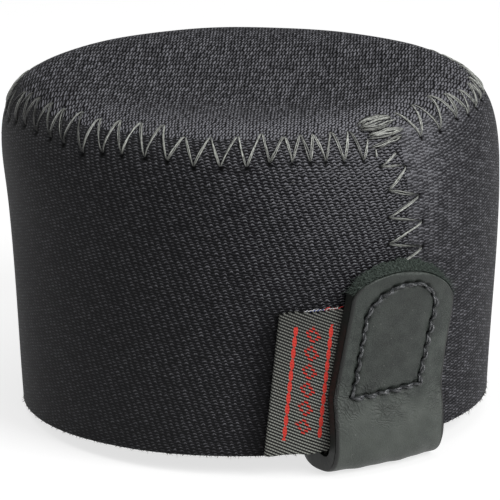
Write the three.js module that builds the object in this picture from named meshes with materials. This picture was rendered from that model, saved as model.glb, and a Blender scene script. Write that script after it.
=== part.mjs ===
// A pull-over cap for the hood of a camera lens: a soft tub of neoprene sheet.
// A round crown panel and a side band are butted edge to edge and held by zigzag seams.
// A leather strap folded round the hem is the pull tab, and it traps a folded woven label.
// Millimetres, +Z up, the tab towards -Y. The cap stands as it does on a table: the fold of
// the tab hangs below the hem, so that side is lifted and the whole cap leans back a little.
// The origin is on the table, under the middle of the cap's outline.

import * as THREE from 'three';
import { mergeVertices } from 'three/addons/utils/BufferGeometryUtils.js';

// Outer form of the cap. "Up" distances run over the surface from the hem.
const hemRadius = 37.7;
const wallTopRadius = 39.9;
const wallHeight = 37.5;
const shoulderRise = 19.9; // how long the shoulder keeps to the line of the wall
const shoulderReach = 16.3; // how long it keeps to the level of the crown
const crownHeight = 52.0;
const crownFlatRadius = 14.0;

// Neoprene sheet: knitted jersey bonded to both sides of the foam.
const jerseyThickness = 0.45;
const foamThickness = 3.0;
const glueLine = 0.05;

// Cut lines of the sheet.
const bandWidth = 51.9; // from the hem to the crown seam
const seamGap = 0.3;
const sideSeamAngle = 5.2; // degrees to the right of the tab's middle

// Zigzag seams and the bar tack where they meet.
const threadWidth = 0.5;
const threadHeight = 0.4;
const crownZigzagWidth = 6.0;
const crownZigzagShift = -0.8; // its middle from the seam, over the surface
const crownStitchPitch = 4.0;
const sideZigzagWidth = 5.6;
const sideStitchPitch = 4.2;
const sideSeamStart = 1.2; // up from the hem
const tackWidth = 6.8;
const tackHeight = 5.6;
const tackPitch = 0.7;
const tackThreadWidth = 0.4;
const tackShift = -1.9; // from the side seam, round the wall
const tackMargin = 0.9; // bare sheet between the tack and the first zigzag

// Leather pull tab, a strap folded in a U round the hem.
const leatherThickness = 1.9;
const strapWidth = 20.7;
const strapShift = -0.8; // its middle at the hem, to the right of azimuth 0
const outerLeafHeight = 30.4;
const innerLeafHeight = 29.4;
const tipDepth = 6.6; // how far down the rounding of the tips reaches
const tipRoom = 2.5; // spare length of the strap's line beyond each tip, for its slant
const tabLean = 9.8; // degrees, the sewn part leaning to the right
const looseHeight = 8.8; // below this the leather is free of the stitching
const outerBow = 1.5; // how far the loose leather bows out
const innerBow = 0.6;
const foldDrop = 3.6; // lowest point of the fold, below the hem
const foldSpread = 4.9;
const sideBevel = 0.35;
const tipBevel = 1.6;

// Lockstitch through both leaves.
const boxWidth = 13.2;
const boxBottom = 9.6;
const boxShoulder = 21.8;
const boxTop = 26.8;
const boxShift = -0.9; // from the strap's middle
const stitchLength = 2.15;
const tabThreadWidth = 0.6;
const tabThreadHeight = 0.5;

// Woven label, a ribbon folded in two with both ends under the tab.
const ribbonThickness = 0.28;
const ribbonGap = 0.08;
const labelBottom = 0.3;
const labelHeight = 23.4;
const labelFoldAtHem = -20.4; // where the free fold starts, round the wall from azimuth 0
const labelLean = 5.2; // degrees
const labelTuck = 5.0; // how far the ends run in under the leather
const hingeMargin = 0.9; // from the leather's edge to the line where the label bends
const bendGap = 0.15; // each side of that line

// Clearance between pieces that lie on each other, and how finely round forms are cut.
const restGap = 0.2;
const roundFacets = 48;
const threadSides = 4;
const mitreLimit = 2.0;

const radians = THREE.MathUtils.degToRad;
const sheetThickness = 2 * jerseyThickness + foamThickness + 2 * glueLine;
const labelThickness = 2 * ribbonThickness + ribbonGap;

// The outline of the cap from the hem up the wall, over the shoulder and to the middle
// of the crown, as a curve in the plane of radius (x) and height (y).
const wallFoot = new THREE.Vector2(hemRadius, 0);
const wallTop = new THREE.Vector2(wallTopRadius, wallHeight);
const wallDirection = wallTop.clone().sub(wallFoot).normalize();
const shoulderEnd = new THREE.Vector2(crownFlatRadius, crownHeight);
const outline = new THREE.CurvePath();
outline.add(new THREE.LineCurve(wallFoot, wallTop));
outline.add(
  new THREE.CubicBezierCurve(
    wallTop,
    wallTop.clone().addScaledVector(wallDirection, shoulderRise),
    shoulderEnd.clone().add(new THREE.Vector2(shoulderReach, 0)),
    shoulderEnd,
  ),
);
outline.add(new THREE.LineCurve(shoulderEnd, new THREE.Vector2(0, crownHeight)));
const [wallLength, shoulderLength, outlineLength] = outline.getCurveLengths();

// The outline's point and outward normal at a distance over the surface from the hem.
function outlineFrame(up) {
  const share = Math.min(up / outlineLength, 1);
  const point = outline.getPoint(share);
  const tangent = outline.getTangent(share);
  return { point, normal: new THREE.Vector2(tangent.y, -tangent.x) };
}

// The outline's point moved `out` millimetres off the surface, or inside it when negative.
function outlineOff(up, out) {
  const { point, normal } = outlineFrame(up);
  return point.clone().addScaledVector(normal, out);
}

// The same point turned about the axis. Azimuth is in radians, from the tab's middle to the
// right.
function capPoint(azimuth, up, out) {
  const { x: radius, y: height } = outlineOff(up, out);
  return new THREE.Vector3(radius * Math.sin(azimuth), -radius * Math.cos(azimuth), height);
}

function capNormal(azimuth, up) {
  const { normal } = outlineFrame(up);
  return new THREE.Vector3(
    normal.x * Math.sin(azimuth),
    -normal.x * Math.cos(azimuth),
    normal.y,
  );
}

// The azimuth at a distance measured round the wall from the tab's middle.
function azimuthAt(round, up, out = 0) {
  return round / outlineOff(up, out).x;
}

function evenly(from, to, steps) {
  return Array.from({ length: steps + 1 }, (_, i) => from + ((to - from) * i) / steps);
}

// A closed solid between two matching grids of points. Rows run up and columns to the
// right, seen from the side that `face` looks towards.
function slab(face, back) {
  const rows = face.length;
  const columns = face[0].length;
  const positions = [...face.flat(), ...back.flat()].flatMap((p) => [p.x, p.y, p.z]);
  const onFace = (i, j) => i * columns + j;
  const onBack = (i, j) => rows * columns + onFace(i, j);
  const index = [];
  const quad = (a, b, c, d) => index.push(a, b, c, a, c, d);
  for (let i = 0; i < rows - 1; i++) {
    for (let j = 0; j < columns - 1; j++) {
      quad(onFace(i, j), onFace(i, j + 1), onFace(i + 1, j + 1), onFace(i + 1, j));
      quad(onBack(i, j), onBack(i + 1, j), onBack(i + 1, j + 1), onBack(i, j + 1));
    }
    const right = columns - 1;
    quad(onFace(i, 0), onFace(i + 1, 0), onBack(i + 1, 0), onBack(i, 0));
    quad(onFace(i, right), onBack(i, right), onBack(i + 1, right), onFace(i + 1, right));
  }
  for (let j = 0; j < columns - 1; j++) {
    const top = rows - 1;
    quad(onFace(0, j), onBack(0, j), onBack(0, j + 1), onFace(0, j + 1));
    quad(onFace(top, j), onFace(top, j + 1), onBack(top, j + 1), onBack(top, j));
  }
  return closedGeometry(positions, index);
}

function closedGeometry(positions, index) {
  const geometry = new THREE.BufferGeometry();
  geometry.setAttribute('position', new THREE.Float32BufferAttribute(positions, 3));
  geometry.setIndex(index);
  geometry.computeVertexNormals();
  return geometry;
}

// A flattened thread through a list of stations { at, away, swell }: `away` points off the
// surface that it lies on, and `swell` scales its section there.
function threadGeometry(stations, width, height, closed) {
  const count = stations.length;
  const positions = [];
  stations.forEach(({ at, away, swell = 1 }, i) => {
    const before = stations[closed ? (i + count - 1) % count : Math.max(i - 1, 0)].at;
    const after = stations[closed ? (i + 1) % count : Math.min(i + 1, count - 1)].at;
    const arriving = at.clone().sub(before).normalize();
    const leaving = after.clone().sub(at).normalize();
    const along = arriving.clone().add(leaving).normalize();
    const side = along.clone().cross(away).normalize();
    const straightness = Math.max(along.dot(arriving), along.dot(leaving));
    const mitre = Math.min(1 / straightness, mitreLimit);
    for (let k = 0; k < threadSides; k++) {
      const angle = (2 * Math.PI * k) / threadSides;
      const point = at
        .clone()
        .addScaledVector(side, (Math.cos(angle) * width * mitre * swell) / 2)
        .addScaledVector(away, (Math.sin(angle) * height * swell) / 2);
      positions.push(point.x, point.y, point.z);
    }
  });
  const index = [];
  const spans = closed ? count : count - 1;
  for (let i = 0; i < spans; i++) {
    const here = i * threadSides;
    const next = ((i + 1) % count) * threadSides;
    for (let k = 0; k < threadSides; k++) {
      const l = (k + 1) % threadSides;
      index.push(here + k, next + l, here + l, here + k, next + k, next + l);
    }
  }
  if (!closed) {
    const last = (count - 1) * threadSides;
    for (let k = 1; k < threadSides - 1; k++) {
      index.push(0, k, k + 1);
      index.push(last, last + k + 1, last + k);
    }
  }
  return closedGeometry(positions, index);
}

// One layer of the crown panel, turned about the axis. Depths are below the outer surface.
function crownLayer(outerDepth, innerDepth) {
  const edge = bandWidth + seamGap / 2;
  const ups = [...evenly(edge, shoulderLength, 5), outlineLength];
  const profile = [
    ...ups.map((up) => outlineOff(up, -innerDepth)).reverse(),
    ...ups.map((up) => outlineOff(up, -outerDepth)),
  ];
  profile[0].x = 0;
  profile[profile.length - 1].x = 0;
  const turned = new THREE.LatheGeometry(profile, roundFacets).rotateX(Math.PI / 2);
  turned.deleteAttribute('uv');
  turned.deleteAttribute('normal');
  const geometry = mergeVertices(turned);
  geometry.computeVertexNormals();
  return geometry;
}

// One layer of the side band, from one side of the side seam right round to the other.
function bandLayer(outerDepth, innerDepth) {
  const seam = radians(sideSeamAngle);
  const halfGap = seamGap / 2 / hemRadius;
  const azimuths = evenly(seam + halfGap, seam + 2 * Math.PI - halfGap, roundFacets);
  const ups = [0, ...evenly(wallLength, bandWidth - seamGap / 2, 4)];
  const surface = (depth) => ups.map((up) => azimuths.map((a) => capPoint(a, up, -depth)));
  return slab(surface(outerDepth), surface(innerDepth));
}

// A zigzag across a seam: `holes` lists the needle holes as [azimuth, up], and each leg
// gets a middle station so that it follows the surface.
function zigzagThread(holes, width, out) {
  const middle = ([a, b], [c, d]) => [(a + c) / 2, (b + d) / 2];
  const marks = holes.flatMap((hole, i) => (i ? [middle(holes[i - 1], hole), hole] : [hole]));
  const stations = marks.map(([azimuth, up]) => ({
    at: capPoint(azimuth, up, out),
    away: capNormal(azimuth, up),
  }));
  return threadGeometry(stations, width, threadHeight, false);
}

const seamRadius = outlineFrame(bandWidth).point.x;
const tackAzimuth = radians(sideSeamAngle) + tackShift / seamRadius;

// The crown seam's needle holes, from the tack's right side round to its left side.
function crownSeamHoles() {
  const clear = (tackWidth / 2 + tackMargin) / seamRadius;
  const from = tackAzimuth + clear;
  const to = tackAzimuth + 2 * Math.PI - clear;
  const legs = 2 * Math.round(((to - from) * seamRadius) / crownStitchPitch);
  const middle = bandWidth + crownZigzagShift;
  const half = crownZigzagWidth / 2;
  return evenly(from, to, legs).map((azimuth, i) => [azimuth, middle + (i % 2 ? -half : half)]);
}

// The side seam's needle holes, from just above the hem to just below the tack.
function sideSeamHoles() {
  const to = bandWidth - tackHeight / 2 - tackMargin;
  const legs = 2 * Math.round((to - sideSeamStart) / sideStitchPitch);
  const half = sideZigzagWidth / 2;
  return evenly(sideSeamStart, to, legs).map((up, i) => [
    radians(sideSeamAngle) + azimuthAt(i % 2 ? half : -half, up),
    up,
  ]);
}

// The bar tack's needle holes: legs laid side by side across the seam, as many as there is
// room for where the thread lies. Inside the shoulder that is fewer than outside.
function tackHoles(out) {
  const from = bandWidth - tackHeight / 2;
  const to = bandWidth + tackHeight / 2;
  const room = outlineOff(from, out).distanceTo(outlineOff(to, out));
  const half = tackWidth / 2 / seamRadius;
  const ups = evenly(from, to, Math.round(room / tackPitch));
  return ups.flatMap((up, i) => {
    const ends = [
      [tackAzimuth - half, up],
      [tackAzimuth + half, up],
    ];
    return i % 2 ? ends.reverse() : ends;
  });
}

const outerThreadOut = restGap + threadHeight / 2;
const innerThreadOut = -(sheetThickness + restGap + threadHeight / 2);

// The strap bridges the seam thread and, outside, the label's ends under it.
const outerStandoff = restGap + Math.max(labelThickness, threadHeight) + restGap;
const innerStandoff = restGap + threadHeight + restGap;
const outerLeafOut = outerStandoff + leatherThickness / 2;
const innerLeafOut = -(sheetThickness + innerStandoff + leatherThickness / 2);
const foldRadius = hemRadius - sheetThickness / 2;

// The strap's middle line in the plane of radius and height, from just beyond the tip of the
// outer leaf down round the hem and up to just beyond the tip of the inner leaf.
function strapLine() {
  const down = wallDirection.clone().negate();
  const across = new THREE.Vector2(-down.y, down.x);
  const outerTip = outlineOff(outerLeafHeight + tipRoom, outerLeafOut);
  const outerFree = outlineOff(looseHeight, outerLeafOut);
  const innerFree = outlineOff(looseHeight, innerLeafOut);
  const innerTip = outlineOff(innerLeafHeight + tipRoom, innerLeafOut);
  const fold = new THREE.Vector2(foldRadius, -foldDrop + leatherThickness / 2);
  const line = new THREE.CurvePath();
  line.add(new THREE.LineCurve(outerTip, outerFree));
  line.add(
    new THREE.CubicBezierCurve(
      outerFree,
      outerFree.clone().addScaledVector(down, looseHeight).addScaledVector(across, outerBow),
      fold.clone().add(new THREE.Vector2(foldSpread, 0)),
      fold,
    ),
  );
  line.add(
    new THREE.CubicBezierCurve(
      fold,
      fold.clone().add(new THREE.Vector2(-foldSpread, 0)),
      innerFree.clone().addScaledVector(down, looseHeight).addScaledVector(across, -innerBow),
      innerFree,
    ),
  );
  line.add(new THREE.LineCurve(innerFree, innerTip));
  return line;
}

// Half the strap's width at a distance from a tip, which is half an ellipse.
function halfWidthAt(fromTip, bevel) {
  const short = Math.max(1 - fromTip / tipDepth, 0);
  return (strapWidth / 2 - bevel) * Math.sqrt(1 - short ** 2);
}

// How far round the wall the strap's middle lies at a height: straight up as far as the
// stitching, leaning above it.
function strapMiddle(height) {
  return strapShift + Math.tan(radians(tabLean)) * Math.max(height - boxBottom, 0);
}

function pullTab() {
  const line = strapLine();
  const length = line.getLength();
  const [outerStraight, outerToFold, toInner] = line.getCurveLengths();
  const tipRows = [0.03, 0.12, 0.28, 0.5, 0.75, 1].map((share) => tipRoom + share * tipDepth);
  const stations = [
    ...tipRows,
    ...evenly(outerStraight, outerToFold, 6),
    ...evenly(outerToFold, toInner, 6).slice(1),
    ...tipRows.map((distance) => length - distance).reverse(),
  ];
  const shares = [-1, -0.7, -0.35, 0, 0.35, 0.7, 1];
  const surface = (offset, bevelled) =>
    stations
      .map((distance) => {
        const fromTip = Math.min(distance, length - distance) - tipRoom;
        const tipShare = Math.max(1 - fromTip / tipDepth, 0);
        const bevel = bevelled ? sideBevel + (tipBevel - sideBevel) * tipShare ** 2 : 0;
        const slide = bevelled ? tipBevel * tipShare : 0;
        const downwards = distance < length / 2 ? 1 : -1;
        const sewn = line.getPoint(distance / length).y / boxBottom;
        const tilt = Math.tan(radians(tabLean)) * THREE.MathUtils.clamp(sewn, 0, 1);
        const tangent = line.getTangent(distance / length);
        const half = halfWidthAt(fromTip, bevel);
        return shares.map((share) => {
          const moved = distance + downwards * (slide + tilt * share * half);
          const point = line.getPoint(moved / length);
          const radius = point.x - tangent.y * offset;
          const height = point.y + tangent.x * offset;
          const azimuth = (strapMiddle(point.y) + share * half) / point.x;
          return new THREE.Vector3(
            radius * Math.sin(azimuth),
            -radius * Math.cos(azimuth),
            height,
          );
        });
      })
      .reverse();
  return slab(surface(leatherThickness / 2, true), surface(-leatherThickness / 2, false));
}

// The sewn box on the tab, a flat outline with an arched top, in round and up distances.
function stitchBox() {
  const box = new THREE.Path();
  box.moveTo(-boxWidth / 2, boxBottom);
  box.lineTo(boxWidth / 2, boxBottom);
  box.lineTo(boxWidth / 2, boxShoulder);
  box.absellipse(0, boxShoulder, boxWidth / 2, boxTop - boxShoulder, 0, Math.PI, false);
  box.lineTo(-boxWidth / 2, boxBottom);
  return box;
}

// Lockstitch round the box: thick in the middle of each stitch, thin at its needle holes.
function boxThread(out) {
  const box = stitchBox();
  const stitches = Math.round(box.getLength() / stitchLength);
  const marks = box.getSpacedPoints(2 * stitches).slice(0, -1);
  const stations = marks.map(({ x, y: up }, i) => {
    const azimuth = azimuthAt(strapMiddle(up) + boxShift + x, up, out);
    const atHole = i % 2 === 0;
    const dip = atHole ? (-Math.sign(out) * tabThreadHeight) / 8 : 0;
    return {
      at: capPoint(azimuth, up, out + dip),
      away: capNormal(azimuth, up),
      swell: atHole ? 0.7 : 1,
    };
  });
  return threadGeometry(stations, tabThreadWidth, tabThreadHeight, true);
}

// Distances round the wall, at a height, of the label's free fold and of the line along
// which it bends when it is lifted, just clear of the leather's edge where that starts to lean.
function labelFoldAt(up) {
  return labelFoldAtHem + Math.tan(radians(labelLean)) * up;
}

function labelBendAt(up) {
  const leatherEdge = strapShift - strapWidth / 2;
  return leatherEdge - hingeMargin + Math.tan(radians(labelLean)) * (up - boxBottom);
}

const labelUps = evenly(labelBottom, labelBottom + labelHeight, 3);

// The free part of the label: in along the wall, round the fold and back outside.
function labelFlap() {
  const nearPly = restGap + ribbonThickness / 2;
  const bendRadius = (ribbonThickness + ribbonGap) / 2;
  const surface = (offset) =>
    labelUps.map((up) => {
      const bend = labelBendAt(up) - bendGap;
      const turn = labelFoldAt(up) + bendRadius + ribbonThickness / 2;
      const inward = evenly(bend, turn, 3).map((round) => [round, nearPly - offset]);
      const around = evenly(-Math.PI / 2, -1.5 * Math.PI, 4).map((angle) => [
        turn + Math.cos(angle) * (bendRadius + offset),
        nearPly + bendRadius + Math.sin(angle) * (bendRadius + offset),
      ]);
      const outward = inward
        .map(([round]) => [round, nearPly + 2 * bendRadius + offset])
        .reverse();
      return [...inward.slice(0, -1), ...around, ...outward.slice(1)].map(([round, out]) =>
        capPoint(azimuthAt(round, up), up, out),
      );
    });
  return slab(surface(ribbonThickness / 2), surface(-ribbonThickness / 2));
}

// The two ends of the label, pressed together under the leather.
function labelRoot() {
  const surface = (out) =>
    labelUps.map((up) => {
      const bend = labelBendAt(up);
      const rounds = evenly(bend + bendGap, bend + hingeMargin + labelTuck, 3);
      return rounds.map((round) => capPoint(azimuthAt(round, up), up, out));
    });
  return slab(surface(restGap + labelThickness), surface(restGap));
}

function finish(color, roughness) {
  return new THREE.MeshStandardMaterial({ color, roughness, metalness: 0 });
}

const knit = { color: 0x2b2c31, roughness: 0.85 };
const foam = { color: 0x1a1a1b, roughness: 0.95 };
const seamThread = { color: 0x8d918b, roughness: 0.55 };
const leather = { color: 0x3a413d, roughness: 0.6 };
const tabThread = { color: 0x16171a, roughness: 0.35 };
const ribbon = { color: 0x5b5b54, roughness: 0.7 };

const cap = new THREE.Group();

function sew(name, geometry, { color, roughness }) {
  const mesh = new THREE.Mesh(geometry, finish(color, roughness));
  mesh.name = name;
  cap.add(mesh);
}

const layers = [
  { name: 'face', thickness: jerseyThickness, look: knit },
  { name: 'foam', thickness: foamThickness, look: foam },
  { name: 'lining', thickness: jerseyThickness, look: knit },
];
let depth = 0;
for (const { name, thickness, look } of layers) {
  sew(`crown_${name}`, crownLayer(depth, depth + thickness), look);
  sew(`band_${name}`, bandLayer(depth, depth + thickness), look);
  depth += thickness + glueLine;
}

const seams = [
  { name: 'crown_seam', holesAt: crownSeamHoles, width: threadWidth },
  { name: 'side_seam', holesAt: sideSeamHoles, width: threadWidth },
  { name: 'bar_tack', holesAt: tackHoles, width: tackThreadWidth },
];
const sides = [
  { side: 'outer', out: outerThreadOut },
  { side: 'inner', out: innerThreadOut },
];
for (const { name, holesAt, width } of seams) {
  for (const { side, out } of sides) {
    sew(`${name}_${side}_thread`, zigzagThread(holesAt(out), width, out), seamThread);
  }
}

const stitchRise = leatherThickness / 2 + restGap + tabThreadHeight / 2;
sew('pull_tab', pullTab(), leather);
sew('tab_stitch_outer', boxThread(outerLeafOut + stitchRise), tabThread);
sew('tab_stitch_inner', boxThread(innerLeafOut - stitchRise), tabThread);
sew('label_flap', labelFlap(), ribbon);
sew('label_root', labelRoot(), ribbon);

// The cap rests on the further corner of the tab's fold and on the hem opposite, which sets
// its lean.
const foldCornerRound = Math.abs(strapShift) + strapWidth / 2;
const foldCornerReach = foldRadius * Math.cos(foldCornerRound / foldRadius);
cap.rotation.x = -Math.atan2(foldDrop, foldCornerReach + hemRadius);
const standing = new THREE.Group();
standing.add(cap);
const box = new THREE.Box3().setFromObject(standing, true);
const middle = box.getCenter(new THREE.Vector3());
standing.position.set(-middle.x, -middle.y, -box.min.z);

export default standing;
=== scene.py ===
# %% [markdown]
# # A neoprene cap for a lens hood
# A soft round tub is pulled over the hood of a camera lens to guard the glass. It is sewn from
# two panels of wetsuit sheet, a side band and a round crown, butted edge to edge under a zigzag.
# A thick leather strap folds round the hem as a pull tab, and a woven label is caught under it.
# This lesson dresses the measured solids of that cap with knit, thread, leather and ribbon.

# %% Load the measured solids
import math

import bpy
import numpy as np
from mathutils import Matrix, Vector


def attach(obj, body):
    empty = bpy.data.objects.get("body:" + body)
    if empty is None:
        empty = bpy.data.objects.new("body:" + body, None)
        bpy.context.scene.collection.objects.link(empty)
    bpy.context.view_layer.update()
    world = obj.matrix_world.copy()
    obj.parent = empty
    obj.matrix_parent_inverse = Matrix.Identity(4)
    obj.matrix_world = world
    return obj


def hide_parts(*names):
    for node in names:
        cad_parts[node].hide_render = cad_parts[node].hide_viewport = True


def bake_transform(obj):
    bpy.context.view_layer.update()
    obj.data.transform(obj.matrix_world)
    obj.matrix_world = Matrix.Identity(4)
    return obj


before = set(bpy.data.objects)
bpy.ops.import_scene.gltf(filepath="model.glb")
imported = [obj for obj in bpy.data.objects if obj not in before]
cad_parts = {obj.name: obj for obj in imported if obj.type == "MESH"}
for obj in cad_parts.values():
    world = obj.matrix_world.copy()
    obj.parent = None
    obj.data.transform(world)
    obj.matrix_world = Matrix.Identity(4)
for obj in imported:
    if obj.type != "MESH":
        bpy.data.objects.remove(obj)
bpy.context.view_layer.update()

# %% [markdown]
# ## Camera
# A product picture like this one is taken with a long lens from well back, so the wall of the
# cap hardly narrows downwards. The eye looks from a little left of the tab and slightly down.
# The angles and the distance are set first, because every other judgement is made through them.

# %% Camera
view_azimuth = math.radians(-33.0)
view_elevation = math.radians(17.9)
view_distance = 0.9
frame_pixels = 500
focal_pixels = 5564.0

toward_camera = np.array([
    math.sin(view_azimuth) * math.cos(view_elevation),
    -math.cos(view_azimuth) * math.cos(view_elevation),
    math.sin(view_elevation),
])
rightwards = np.array([math.cos(view_azimuth), math.sin(view_azimuth), 0.0])
aim = np.array([0.0, 0.0, 0.02515]) - 0.00072 * rightwards

camera = bpy.data.objects.new("camera", bpy.data.cameras.new("camera"))
camera.location = aim + view_distance * toward_camera
camera.rotation_euler = Vector(toward_camera).to_track_quat("Z", "Y").to_euler()
camera.data.sensor_width = 36.0
camera.data.lens = camera.data.sensor_width * focal_pixels / frame_pixels
camera.data.clip_start = 0.01
bpy.context.collection.objects.link(camera)
bpy.context.scene.camera = camera
print("lens", round(camera.data.lens, 1), "mm at", view_distance, "m")

# %% [markdown]
# ## Light
# A cap this dark needs broad, gentle light or its knit disappears. A large soft box overhead
# lifts the crown. The main panel stands to the right of the camera, so the wall shines softly
# above the tab and falls off to the left, where a weak panel only draws the rim. The world adds
# an even grey, and shows white to the camera.

# %% Lights and world
def soft_box(name, place, size, watts):
    """A square area lamp at place, turned so that it faces the middle of the cap."""
    lamp = bpy.data.lights.new(name, "AREA")
    lamp.shape = "SQUARE"
    lamp.size = size
    lamp.energy = watts
    box = bpy.data.objects.new(name, lamp)
    box.location = place
    away = Vector(place) - Vector((0.0, 0.0, 0.03))
    box.rotation_euler = away.to_track_quat("Z", "Y").to_euler()
    bpy.context.collection.objects.link(box)
    return box


def beside_camera(right, back, up):
    """A place in metres, counted from the cap along the camera's right, away from it, and up."""
    level = np.array([math.sin(view_azimuth), -math.cos(view_azimuth), 0.0])
    return rightwards * right - level * back + np.array([0.0, 0.0, up])


soft_box("overhead", beside_camera(0.0, 0.0, 0.63), 0.5, 1.3)
soft_box("right_panel", beside_camera(0.47, -0.36, 0.44), 0.40, 4.1)
soft_box("left_panel", beside_camera(-0.6, 0.35, 0.2), 0.3, 0.45)

world = bpy.data.worlds.new("studio")
world.use_nodes = True
bpy.context.scene.world = world
sky = world.node_tree
sky_light = sky.nodes["Background"]
sky_light.inputs["Color"].default_value = (1.0, 1.0, 1.0, 1.0)
sky_light.inputs["Strength"].default_value = 0.19
sky_white = sky.nodes.new("ShaderNodeBackground")
sky_white.inputs["Strength"].default_value = 1.0
sky_rays = sky.nodes.new("ShaderNodeLightPath")
sky_mix = sky.nodes.new("ShaderNodeMixShader")
sky.links.new(sky_rays.outputs["Is Camera Ray"], sky_mix.inputs["Fac"])
sky.links.new(sky_light.outputs[0], sky_mix.inputs[1])
sky.links.new(sky_white.outputs[0], sky_mix.inputs[2])
sky.links.new(sky_mix.outputs[0], sky.nodes["World Output"].inputs["Surface"])

bpy.context.scene.view_settings.view_transform = "Standard"

# %% [markdown]
# ## Numbers worked out by nodes
# Every finish below is made of nodes, and a formula of nodes is hard to read. So a small class
# stands for a number in a material: adding or multiplying two of them makes the Math node, and
# the finishes can be written like plain sums.

# %% Values
def plug(tree, value, socket):
    """Links a socket or a Value, or writes a plain number or colour."""
    value = getattr(value, "socket", value)
    if isinstance(value, bpy.types.NodeSocket):
        tree.links.new(value, socket)
    else:
        socket.default_value = value


class Value:
    """A number in a material. Signs and the steps below add nodes and give a new Value."""

    def __init__(self, tree, socket):
        self.tree, self.socket = tree, socket

    def math(self, operation, *others, clamp=False):
        """The Math node's operation on this value and the others."""
        node = self.tree.nodes.new("ShaderNodeMath")
        node.operation, node.use_clamp = operation, clamp
        for value, socket in zip((self, *others), node.inputs):
            plug(self.tree, value, socket)
        return Value(self.tree, node.outputs[0])

    def __add__(self, other):
        return self.math("ADD", other)

    def __sub__(self, other):
        return self.math("SUBTRACT", other)

    def __rsub__(self, other):
        return self.math("MULTIPLY_ADD", -1.0, other)

    def __mul__(self, other):
        return self.math("MULTIPLY", other)

    def __truediv__(self, other):
        return self.math("DIVIDE", other)

    __radd__, __rmul__ = __add__, __mul__

    def clamped(self):
        """The value kept between 0 and 1."""
        return self.math("ADD", 0.0, clamp=True)

    def rise(self, low, high):
        """0 below low, 1 above high, and an eased rise between them."""
        node = self.tree.nodes.new("ShaderNodeMapRange")
        node.interpolation_type = "SMOOTHSTEP"
        plug(self.tree, self, node.inputs["Value"])
        node.inputs["From Min"].default_value = low
        node.inputs["From Max"].default_value = high
        return Value(self.tree, node.outputs["Result"])

    def fall(self, low, high):
        """1 below low, 0 above high, and an eased fall between them."""
        return 1.0 - self.rise(low, high)


print("values can be added, multiplied, eased and clamped")

# %% [markdown]
# ## Starting a finish
# A finish is a Principled material. Its plain numbers are set on the shader's own sockets, and
# each kind of node that these finishes need can be added in one short call.

# %% Finishes
class Finish:
    """A Principled material in the making."""

    def __init__(self, name, **sockets):
        """Sets the shader's sockets given by name, spaces written as underscores."""
        self.material = bpy.data.materials.new(name)
        self.material.use_nodes = True
        self.tree = self.material.node_tree
        self.shader = self.tree.nodes["Principled BSDF"]
        for socket, value in sockets.items():
            self.shader.inputs[socket.replace("_", " ")].default_value = value

    def node(self, kind, **inputs):
        """A new node of a kind, with its inputs given by name."""
        node = self.tree.nodes.new("ShaderNode" + kind)
        for name, value in inputs.items():
            plug(self.tree, value, node.inputs[name])
        return node

    def cloth(self):
        """The piece's own UV map, in millimetres of the cloth before it was stretched."""
        node = self.node("UVMap")
        node.uv_map = "cloth"
        return node.outputs[0]

    def attribute(self, name):
        """A number that each vertex of the piece carries."""
        node = self.node("Attribute")
        node.attribute_name = name
        return Value(self.tree, node.outputs["Fac"])

    def parts(self, vector):
        """The first two parts of a vector."""
        node = self.node("SeparateXYZ", Vector=vector)
        return Value(self.tree, node.outputs[0]), Value(self.tree, node.outputs[1])

    def vector(self, a, b):
        """A vector of two parts."""
        return self.node("CombineXYZ", X=a, Y=b).outputs[0]

    def noise(self, where, scale, detail=2.0, roughness=0.5):
        """Noise of about 1/scale units across, from 0 to 1."""
        node = self.node("TexNoise", Vector=where, Scale=scale, Detail=detail, Roughness=roughness)
        return Value(self.tree, node.outputs["Fac"])

    def chance(self, where):
        """A number from 0 to 1 by chance, another one for each vector."""
        return Value(self.tree, self.node("TexWhiteNoise", Vector=where).outputs["Value"])

    def spots(self, where, scale):
        """Distance to the nearest of many scattered spots, about 1/scale units apart."""
        node = self.node("TexVoronoi", Vector=where, Scale=scale)
        return Value(self.tree, node.outputs["Distance"])

    def mix(self, share, a, b):
        """Colour a where share is 0 and b where it is 1."""
        node = self.node("Mix")
        node.data_type = "RGBA"
        for value, place in ((share, 0), (a, 6), (b, 7)):
            plug(self.tree, value, node.inputs[place])
        return node.outputs[2]

    def colour(self, value):
        """Gives the finish its colour."""
        plug(self.tree, value, self.shader.inputs["Base Color"])

    def bump(self, height, distance, under=None):
        """Tilts the shading normal by a height, distance metres deep where the height is 1."""
        node = self.node("Bump", Distance=distance, Height=height)
        if under is not None:
            plug(self.tree, under, node.inputs["Normal"])
        plug(self.tree, node.outputs[0], self.shader.inputs["Normal"])
        return node.outputs[0]


print("finishes can be started")

# %% [markdown]
# ## Floor
# The cap stands on a pale sheet of paper. The paper is a plain white surface that keeps the soft
# shadow. Its own white brings it up to the background for the eye, and a quarter of that lights
# the lower wall of the cap, as a bright studio table does.

# %% Floor
def floor_sheet(half):
    """A flat square, 2 * half across, at height 0."""
    mesh = bpy.data.meshes.new("floor")
    corners = [(-half, -half, 0.0), (half, -half, 0.0), (half, half, 0.0), (-half, half, 0.0)]
    mesh.from_pydata(corners, [], [(0, 1, 2, 3)])
    sheet = bpy.data.objects.new("floor", mesh)
    bpy.context.collection.objects.link(sheet)
    return sheet


floor = floor_sheet(4.0)
white_to_eye, white_to_cap = 0.72, 0.18
paper = Finish("paper", Base_Color=(0.4, 0.4, 0.4, 1), Roughness=0.9, Emission_Color=(1, 1, 1, 1))
paper_rays = paper.node("LightPath")
seen = Value(paper.tree, paper_rays.outputs["Is Camera Ray"])
seen = seen.math("MAXIMUM", paper_rays.outputs["Is Glossy Ray"])
paper_glow = seen * (white_to_eye - white_to_cap) + white_to_cap
plug(paper.tree, paper_glow, paper.shader.inputs["Emission Strength"])
floor.data.materials.append(paper.material)
print("floor", tuple(round(v, 1) for v in floor.dimensions))

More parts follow.
